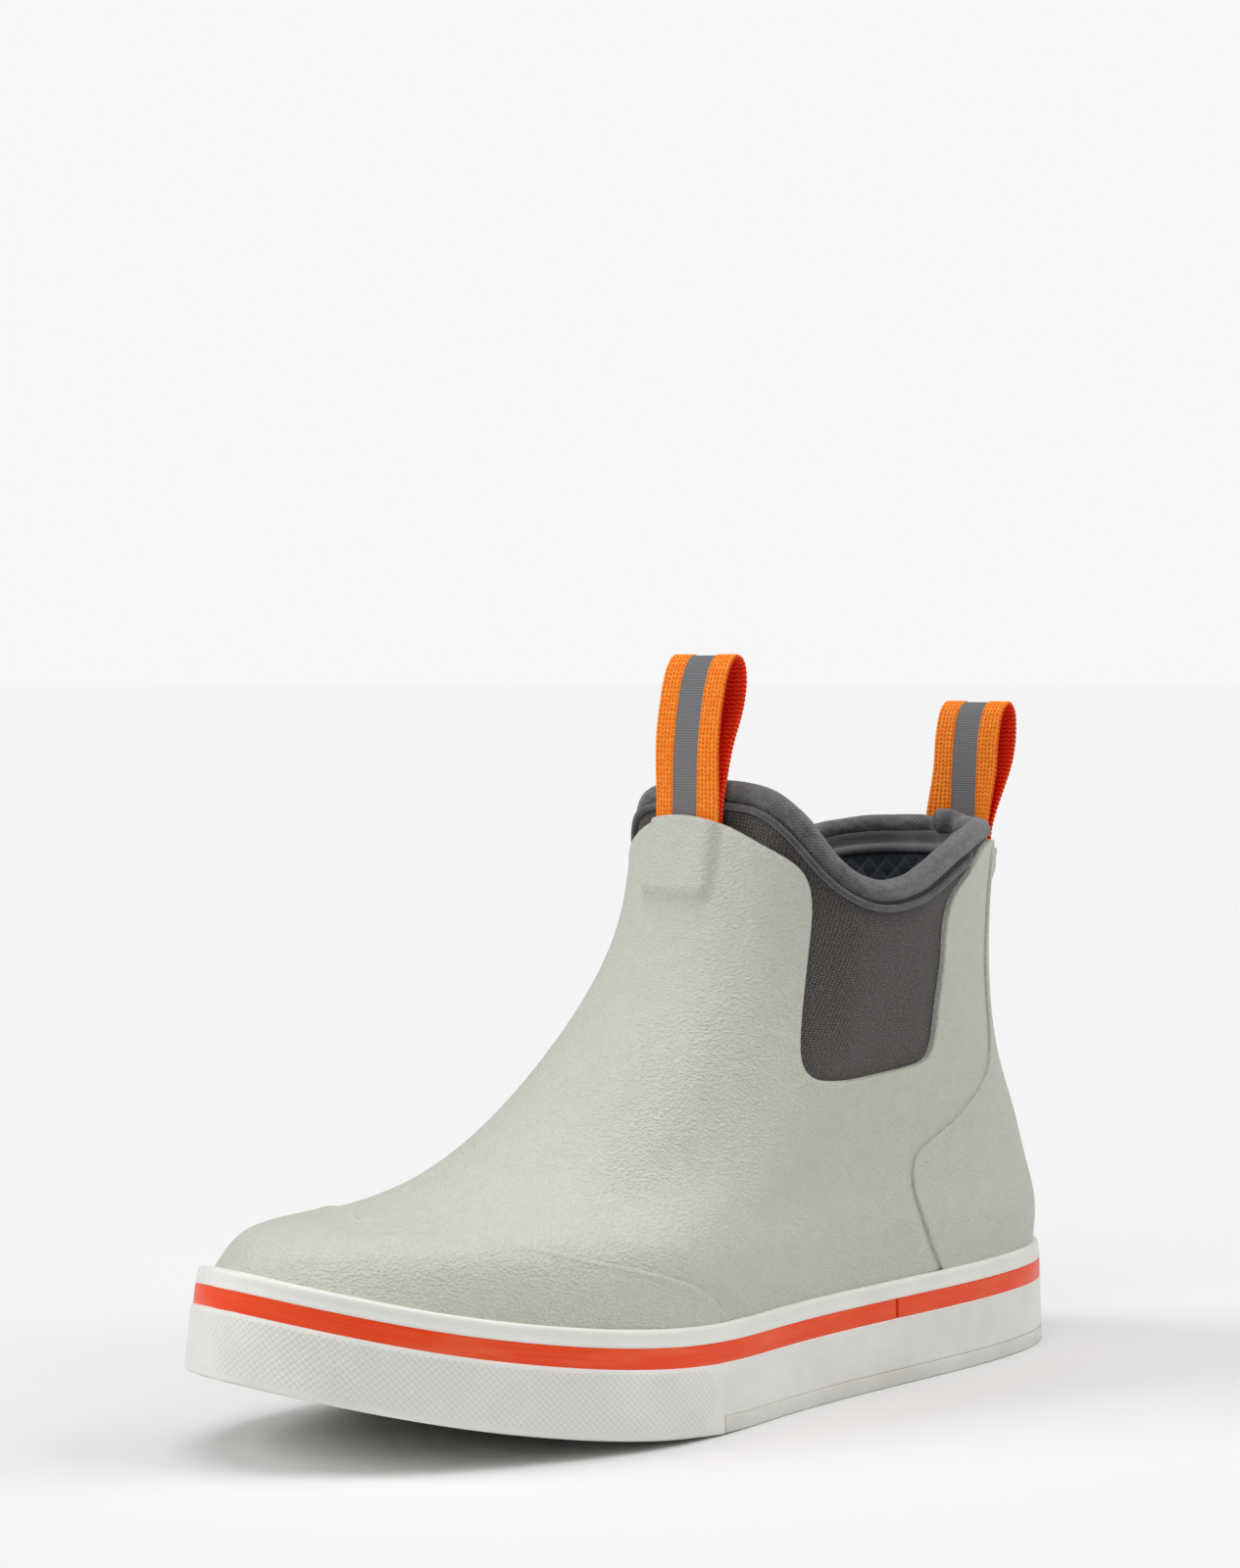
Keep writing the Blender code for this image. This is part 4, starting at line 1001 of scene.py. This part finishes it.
def even_outline(outline_points, count):
    """Points evenly spaced along a closed outline, and their distances along it."""
    closed = np.vstack([outline_points, outline_points[:1]])
    along = lengths_along(closed)
    even = np.linspace(0, along[-1], count, endpoint=False)
    return resampled(closed, along, even), even, along[-1]


SOLE_LINE, SOLE_RUN, SOLE_LENGTH = even_outline(SOLE_CURVE, WALL_COLUMNS)
SOLE_OUT = outward(SOLE_LINE)
WALL_H = foxing_height(SOLE_LINE[:, 0])
SOLE_SPRING = spring(SOLE_LINE[:, 0])
# Angle from the toe, for where the pieces of the wall end.
SOLE_TURN = np.degrees(SOLE.angle_of(SOLE_LINE[:, 0]))
# The wall leans in by this much over its height, and by more over the toe.
REAR_LEAN, TOE_LEAN = 0.5, 2.6
LEAN = REAR_LEAN + TOE_LEAN * ramp(SOLE_LINE[:, 0], 60, 140)


def wall_points(depth, share):
    """Points on the sole wall: depth in from its face, and share of its height."""
    place = SOLE_LINE - SOLE_OUT * (depth + LEAN * share)[:, None]
    return np.column_stack([place, SOLE_SPRING + WALL_H * share])


def wall_arc(wanted):
    """The wanted columns of the wall in order along it, and their distances."""
    keep = np.nonzero(wanted)[0]
    jump = np.nonzero(np.diff(keep) > 1)[0]
    if len(jump):
        keep = np.concatenate([keep[jump[0] + 1 :], keep[: jump[0] + 1]])
    turn = SOLE_LENGTH / (2 * np.pi)
    return keep, np.unwrap(SOLE_RUN[keep] / turn) * turn


def end_caps(rows, columns):
    """The two faces that close the ends of a swept profile."""
    cap = np.arange(rows) * columns
    return [np.array([cap]), np.array([cap[::-1] + columns - 1])]


def wall_piece(name, node, material, profile, wanted=None):
    """Sweep of a closed profile of (depth, share of height) round the sole, or part of it."""
    rings = np.stack([wall_points(d, s) for d, s in profile])
    lengths = lengths_along(rings[:, 0])
    lengths = np.append(lengths, lengths[-1] + 2)
    keep, run = np.arange(WALL_COLUMNS), np.append(SOLE_RUN, SOLE_LENGTH)
    if wanted is not None:
        keep, run = wall_arc(wanted)
    faces, r, c = grid_faces(len(profile), len(keep), wanted is None, True)
    groups, uv = [faces], [grid_uv(r, c, run, lengths)]
    if wanted is not None:
        groups += end_caps(len(profile), len(keep))
        uv += [np.zeros((1, len(profile), 2))] * 2
    ride_as(mesh_object(name, rings[:, keep], groups, material, uv, 40), node)


def make_wall():
    """The base tape, the stripe with its lap joint, and the smooth lower wall behind the toe."""
    low, high = STRIPE_LOW, STRIPE_HIGH
    wall_piece("foxing_wall", "foxing_tape", WALL, [
        (4.2, 0.15), (2.2, 0.15), (2.0, low - 0.02), (1.5, low), (1.5, high - 0.01),
        (1.35, high - 0.01), (0.32, high - 0.002), (0.12, high + 0.004), (0.06, high + 0.014),
        (0.1, high + 0.026), (0.34, high + 0.036), (0.38, 0.93), (0.46, 0.965), (0.62, 0.985),
        (0.9, 0.997), (1.3, 1.0), (2.6, 1.0), (3.6, 0.99), (4.2, 0.96),
    ])
    lap = (SOLE_TURN > STRIPE_LAP[0]) & (SOLE_TURN < STRIPE_LAP[1]) & (SOLE_LINE[:, 1] > 0)
    wall_piece("sole_stripe", "stripe_tape", STRIPE, [
        (1.45, low - 0.012), (0.3, low - 0.012), (0.2, low - 0.004), (0.16, low + 0.026),
        (0.14, low + 0.09), (0.14, high - 0.05), (0.16, high - 0.026), (0.2, high - 0.004),
        (0.3, high + 0.004), (1.45, high + 0.004),
    ], ~lap)
    wall_piece("rear_side_skin", "rear_side_wall", WALL, [
        (2.6, 0.155), (0.2, 0.155), (0.08, 0.16), (0.02, 0.175), (0.0, 0.24), (0.0, 0.58),
        (0.0, 0.622), (-0.04, 0.632), (0.0, 0.642), (0.16, 0.648), (2.0, 0.648),
    ], SOLE_TURN > BUMPER_TURN - 0.3)


def make_bumper():
    """Toe bumper with a raised diamond texture that fades out in a rounded end."""
    keep, run = wall_arc(SOLE_TURN <= BUMPER_TURN)
    fine = np.arange(run[0], run[-1], 0.42)
    wall = np.column_stack([SOLE_LINE, SOLE_OUT, WALL_H, SOLE_SPRING, LEAN])[keep]
    wall = resampled(wall, run, fine)
    line, out, (wall_height, lift, lean) = wall[:, :2], unit(wall[:, 2:4]), wall[:, 4:].T
    top = STRIPE_LOW - 0.002
    shares = np.concatenate([np.linspace(0, 0.05, 5)[:-1], np.linspace(0.05, top - 0.02, 72),
                             [top - 0.012, top - 0.004, top]])
    height = shares[:, None] * wall_height
    edge = np.minimum(fine - fine[0], fine[-1] - fine)
    inset = arc((height - wall_height * (top + 0.06) / 2) / (wall_height * (top - 0.08) / 2))
    worked = ramp(edge - 7 * (1 - inset), 0.3, 5.3)
    worked *= ramp(height - wall_height * 0.05, 0, 0.9)
    worked *= ramp(wall_height * (top - 0.015) - height, 0, 0.9)
    u, v = fine / KNURL_PITCH, height / KNURL_ROW
    diamonds = np.abs(((u + v) % 1) * 2 - 1) * np.abs(((u - v) % 1) * 2 - 1)
    # crown falls in the knurl's grooves, where the bumper's material paints shade.
    crown = 1 - worked * (1 - diamonds**0.4)
    round_low = 1.15 * (1 - arc(1 - np.clip(height / 1.6, 0, 1)))
    round_high = 0.35 * (1 - arc(1 - np.clip((top * wall_height - height) / 0.8, 0, 1)))
    settled = ramp(edge, 0, 12)
    depth = (round_low - 0.2) * settled - diamonds**0.4 * KNURL_RISE * worked + round_high
    place = line - out * (depth + lean * shares[:, None])[..., None]
    face = np.concatenate([place, (lift + height)[..., None]], -1)
    back = np.stack([np.column_stack([line - out * (BUMPER_T + lean * share)[:, None],
                                      lift + wall_height * share]) for share in (top, 0)])
    rings = np.concatenate([face, back])
    faces, _, _ = grid_faces(len(rings), len(fine), False, True)
    made = mesh_object("toe_bumper_knurled", rings, [faces] + end_caps(len(rings), len(fine)),
                       BUMPER, None, 50)
    set_values(made, "crown", np.concatenate([crown.ravel(), np.ones(2 * len(fine))]))
    ride_as(made, "toe_bumper")


GROOVE_PITCH, GROOVE_ZIGZAG, GROOVE_STEP = 13.0, 3.0, 11.0
FOOTBED_TOP, FOOTBED_COLUMNS = 23.3, 400


def groove(x, bend, width, slope):
    """1 inside the zigzag grooves of the tread, falling to 0 past their sides."""
    phase = np.abs((x + bend + 1.5) % GROOVE_PITCH - GROOVE_PITCH / 2)
    return ramp(phase, width, width - slope)


def make_outsole():
    """Tread plate: its edge shows along the arch and heel, and its underside has zigzag grooves."""
    inside_bumper = np.where(SOLE_TURN <= BUMPER_TURN, 1.9, -0.05)
    rings = []
    for depth, height in ((0.9, 0.0), (0.35, 0.05), (0.08, 0.25), (0.0, 0.6), (0.0, 4.1),
                          (0.12, 4.38), (0.4, 4.5), (3.5, 4.5)):
        place = SOLE_LINE - SOLE_OUT * (depth + inside_bumper)[:, None]
        rings.append(np.column_stack([place, SOLE_SPRING + height]))
    start = rings[0][:, :2]
    spine = np.column_stack([start[:, 0] * 0.985,
                             SOLE.middle_and_width(np.radians(SOLE_TURN))[0]])
    for s in np.linspace(0, 1, 130)[1:]:
        spot = start + (spine - start) * s
        x, y = spot.T
        bend = np.abs((y / GROOVE_STEP) % 2 - 1) * GROOVE_ZIGZAG
        inset = np.linalg.norm(spot - start, axis=1)
        cut = 1.5 * groove(x, bend, 1.05, 0.5) * ramp(inset, 5.5, 7)
        sipe = 0.7 * groove(x + GROOVE_PITCH / 2, bend, 0.55, 0.3) * ramp(inset, 7.5, 9)
        rings.insert(0, np.column_stack([spot, spring(x) + cut + sipe]))
    faces, _, _ = grid_faces(len(rings), WALL_COLUMNS, True)
    made = mesh_object("outsole_tread", np.stack(rings), [faces], OUTSOLE, None, 45)
    ride_as(made, "outsole")


def make_footbed():
    """The footbed's covered top, slightly dished, with rounded edges."""
    foot_line = upper_point(np.linspace(0, 2 * np.pi, 721)[:-1], 0.0)[:, :2]
    outline, _, _ = even_outline(foot_line - outward(foot_line) * 8.6, FOOTBED_COLUMNS)
    toe = 7.0 * ramp(outline[:, 0], 30, 110)
    outline = outline - outward(outline) * toe[:, None]
    middle = np.column_stack([outline[:, 0] * 0.97 - 1, np.ones(FOOTBED_COLUMNS)])

    def level(spot, height, share=1.0):
        dish = 2.2 * share**3 * ramp(spot[:, 0], 40, -20)
        return np.column_stack([spot, spring(spot[:, 0]) + height + dish])

    rows = [level(middle + (outline - middle) * s, FOOTBED_TOP, s) for s in np.linspace(0, 1, 40)]
    proud = np.column_stack([outward(outline) * 0.35, np.zeros(FOOTBED_COLUMNS)])
    rows.append(level(outline, FOOTBED_TOP - 0.4) + proud)
    rows.append(level(outline, FOOTBED_TOP - 0.9))
    grid = np.array(rows)
    faces, r, c = grid_faces(len(rows), FOOTBED_COLUMNS, True)
    uv = grid[r, c % FOOTBED_COLUMNS, :2]
    made = mesh_object("footbed_top_cloth", grid, [faces[:, ::-1]], COVER, [uv[:, ::-1]])
    ride_as(made, "footbed_cover")


# ---------------------------------------------------------------- pull tabs

WIDTH, THICK = 25.4, 1.3
FRONT_LOOP = [
    (0.95, -7), (0.66, -1), (0.5, 8), (0.2, 16), (-0.6, 24), (-1.8, 31), (-3.4, 37.5), (-5.2, 41.5),
    (-7.3, 43.3), (-9.3, 42.6), (-10.6, 40.0), (-10.9, 36), (-10.4, 32), (-8.7, 26),
    (-6.4, 20.5), (-4.4, 15), (-2.6, 8.8), (-1.2, 3.5), (-0.66, -1), (-0.3, -7),
]
REAR_LOOP = [
    (0.6, -7), (0.6, 0), (0.45, 10), (0.2, 20), (-0.3, 28), (-1.6, 34.5), (-3.6, 38.4),
    (-5.8, 39.5), (-7.5, 37.9), (-8.4, 33.5), (-8.2, 28.5), (-7.0, 22.5), (-5.0, 16),
    (-3.0, 9.5), (-1.5, 4), (-0.75, 0), (-0.7, -7),
]
YARN, PICK = 1.41, 1.3
COLUMN_GAP, PICK_GAP = 0.26, 0.38
YARN_RISE, STRIPE_HALF = 0.32, 5.1


def make_tab(side, loop_points, toward):
    """Webbing loop and its grey stripe, which also stand in for the tab's tail below the hinge."""
    joint = next(j for j in frame["joints"] if j["name"] == side + "_tab_hinge")
    pivot = np.array(joint["pos_m"]) / MM
    path = open_curve(loop_points, 520)
    run = unit(np.gradient(path, axis=0))
    normal = np.column_stack([run[:, 1], -run[:, 0]])[..., None]
    along = lengths_along(path)
    across = np.linspace(-WIDTH / 2, WIDTH / 2, 150)
    s, y = np.meshgrid(along, across, indexing="ij")
    rows, columns = s.shape

    phase = s / PICK + 0.12 * np.sin(2.3 * y + 0.4 * s)
    pick = np.exp(-(((phase - np.round(phase)) * PICK / PICK_GAP) ** 2))
    column = np.exp(-(((y / YARN - np.round(y / YARN)) * YARN / COLUMN_GAP) ** 2))
    crown = np.clip(1 - 0.3 * column - 0.22 * pick - 0.62 * column * pick, 0, 1)
    inner_crown = np.clip(1 - 0.18 * column - 0.78 * pick, 0, 1)
    rib = 0.5 + 0.5 * np.cos(2 * np.pi * s / RIB)
    on_stripe = ramp(np.abs(y), STRIPE_HALF, STRIPE_HALF - 0.35)
    selvedge = (THICK / 2 - 0.26) * arc(np.clip(np.abs(y) - (WIDTH / 2 - 0.7), 0, 1) / 0.72)
    scallop = 0.16 * np.cos(2 * np.pi * s / PICK) * (np.abs(y) > WIDTH / 2 - 0.6) * np.sign(y)
    outer_rise = selvedge + YARN_RISE * crown * (1 - on_stripe) + on_stripe * (0.06 * rib - 0.12)
    inner_rise = selvedge + YARN_RISE * inner_crown

    # Low down, the webbing takes the curve of the leg.
    angles = np.radians(np.linspace(-60, 60, 121)) + np.pi * (toward < 0)
    hoop = upper_point(angles, q_at_height(angles, pivot[2]))
    order = np.argsort(hoop[:, 1])
    curve = np.interp(across, hoop[order, 1], hoop[order, 0]) - toward * np.abs(hoop[:, 0]).max()
    curve = curve - curve[np.abs(curve).argmin()]
    bend = curve * ramp(path[:, 1], 24, -1)[:, None]

    def surface(rise):
        x = path[:, :1] + normal[:, 0] * rise + bend
        return np.stack([x, y + scallop, path[:, 1:] + normal[:, 1] * rise], -1) + pivot

    points = np.concatenate([surface(outer_rise), surface(-inner_rise)[:, ::-1]], axis=1)
    flat = points.reshape(-1, 3)
    faces, r, c = grid_faces(rows, 2 * columns, True)
    uv = grid_uv(r, c, np.concatenate([across, across[::-1] + 40, across[:1]]), along)
    grey = np.concatenate([on_stripe > 0.5, np.zeros(s.shape, bool)], axis=1).ravel()
    is_grey = grey[faces].all(1)
    first = np.arange(columns - 1)
    caps = np.stack([first, first + 1, 2 * columns - 2 - first, 2 * columns - 1 - first], 1)
    no_uv = np.zeros((len(caps), 4, 2))
    # crown also sets the painted shade in the weave's hollows, and inside marks the inner face,
    # which is painted a deeper red as in shade.
    values = {"crown": np.concatenate([crown, inner_crown[:, ::-1]], axis=1).ravel(),
              "inside": np.repeat([[0, 1]], columns, axis=1).repeat(rows, axis=0).ravel()}

    def tab_piece(name, nodes, material, groups, uvs):
        groups, uvs = [g[:, ::-1] for g in groups], [u[:, ::-1] for u in uvs]
        used = np.unique(np.concatenate([g.ravel() for g in groups]))
        number = np.zeros(len(flat), np.int64)
        number[used] = np.arange(len(used))
        made = mesh_object(name, flat[used], [number[g] for g in groups], material, uvs)
        for key, value in values.items():
            set_values(made, key, value[used])
        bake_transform(made)
        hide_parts(*nodes)

    end = (rows - 1) * 2 * columns
    tab_piece(side + "_tab_webbing", (side + "_tab_loop", side + "_tab_tail"),
              WEBBING, [faces[~is_grey], caps[:, ::-1], caps + end], [uv[~is_grey], no_uv, no_uv])
    tab_piece(side + "_tab_grey_stripe", (side + "_tab_stripe",), GREY_STRIPE,
              [faces[is_grey]], [uv[is_grey]])


# ---------------------------------------------------------------- build

make_upper()
make_bootie()
make_lining()
make_binding()
make_piping()
make_facing()
make_wall()
make_bumper()
make_outsole()
make_footbed()
make_tab("front", FRONT_LOOP, 1)
make_tab("rear", REAR_LOOP, -1)

# Three hidden CAD solids stay, with finishes of their own.
for node, finish in (("midsole", OUTSOLE), ("insole_board", FACING), ("footbed", FOAM)):
    mesh = frame["nodes"][node].data
    mesh.materials.clear()
    mesh.materials.append(finish)

# ---------------------------------------------------------------- floor, light and camera

FLOOR_TONE, FLOOR_REACH, WORLD_TONE, BACKDROP = 0.812, 30000.0, 0.8, 0.93


def make_floor():
    n = Nodes("pale_floor", 0.9, {
        "Specular IOR Level": 0.0, "Base Color": (FLOOR_TONE, FLOOR_TONE, FLOOR_TONE, 1)})
    corners = [(x * FLOOR_REACH, y * FLOOR_REACH, 0)
               for x, y in ((-1, -1), (1, -1), (1, 1), (-1, 1))]
    mesh_object("floor", corners, [np.array([[0, 1, 2, 3]])], n.material)


def make_world(strength):
    """Dim even light, with a pale backdrop that only the camera sees."""
    world = bpy.data.worlds.new("studio")
    bpy.context.scene.world = world
    world.use_nodes = True
    nodes, links = world.node_tree.nodes, world.node_tree.links
    nodes.clear()
    seen, mix = nodes.new("ShaderNodeLightPath"), nodes.new("ShaderNodeMixShader")
    links.new(seen.outputs["Is Camera Ray"], mix.inputs[0])
    for slot, tone, power in ((1, WORLD_TONE, strength), (2, BACKDROP, 1.0)):
        light = nodes.new("ShaderNodeBackground")
        light.inputs["Color"].default_value = (tone, tone, tone, 1)
        light.inputs["Strength"].default_value = power
        links.new(light.outputs[0], mix.inputs[slot])
    links.new(mix.outputs[0], nodes.new("ShaderNodeOutputWorld").inputs[0])


def add_object(name, data, along, axis):
    """Links a light or the camera, turned so that its axis lies along a direction."""
    made = bpy.data.objects.new(name, data)
    made.rotation_mode = "QUATERNION"
    made.rotation_quaternion = Vector(along).to_track_quat(axis, "Y")
    bpy.context.scene.collection.objects.link(made)
    return made


def add_sun(name, towards, strength, angle):
    """Distant soft light that shines from that direction."""
    data = bpy.data.lights.new(name, "SUN")
    data.energy = strength
    data.angle = math.radians(angle)
    add_object(name, data, towards, "Z")


def make_camera():
    data = bpy.data.cameras.new("camera")
    data.sensor_fit = "AUTO"
    data.sensor_width = 36.0
    data.lens = 81.05
    data.clip_start, data.clip_end = 0.05, 100
    made = add_object("camera", data, (-0.67780, -0.73450, -0.03303), "-Z")
    made.location = Vector((681.05, 719.34, 203.95)) * MM
    bpy.context.scene.camera = made


make_floor()
make_world(0.1)
add_sun("front_left", (0.62, -0.52, 0.588), 1.24, 36)
add_sun("front", (0.72, 0.26, 0.64), 0.52, 40)
add_sun("right_rear", (-0.59, 0.49, 0.64), 1.15, 40)
add_sun("top", (0.0, 0.0, 1.0), 1.46, 50)
make_camera()
bpy.context.scene.view_settings.view_transform = "Standard"
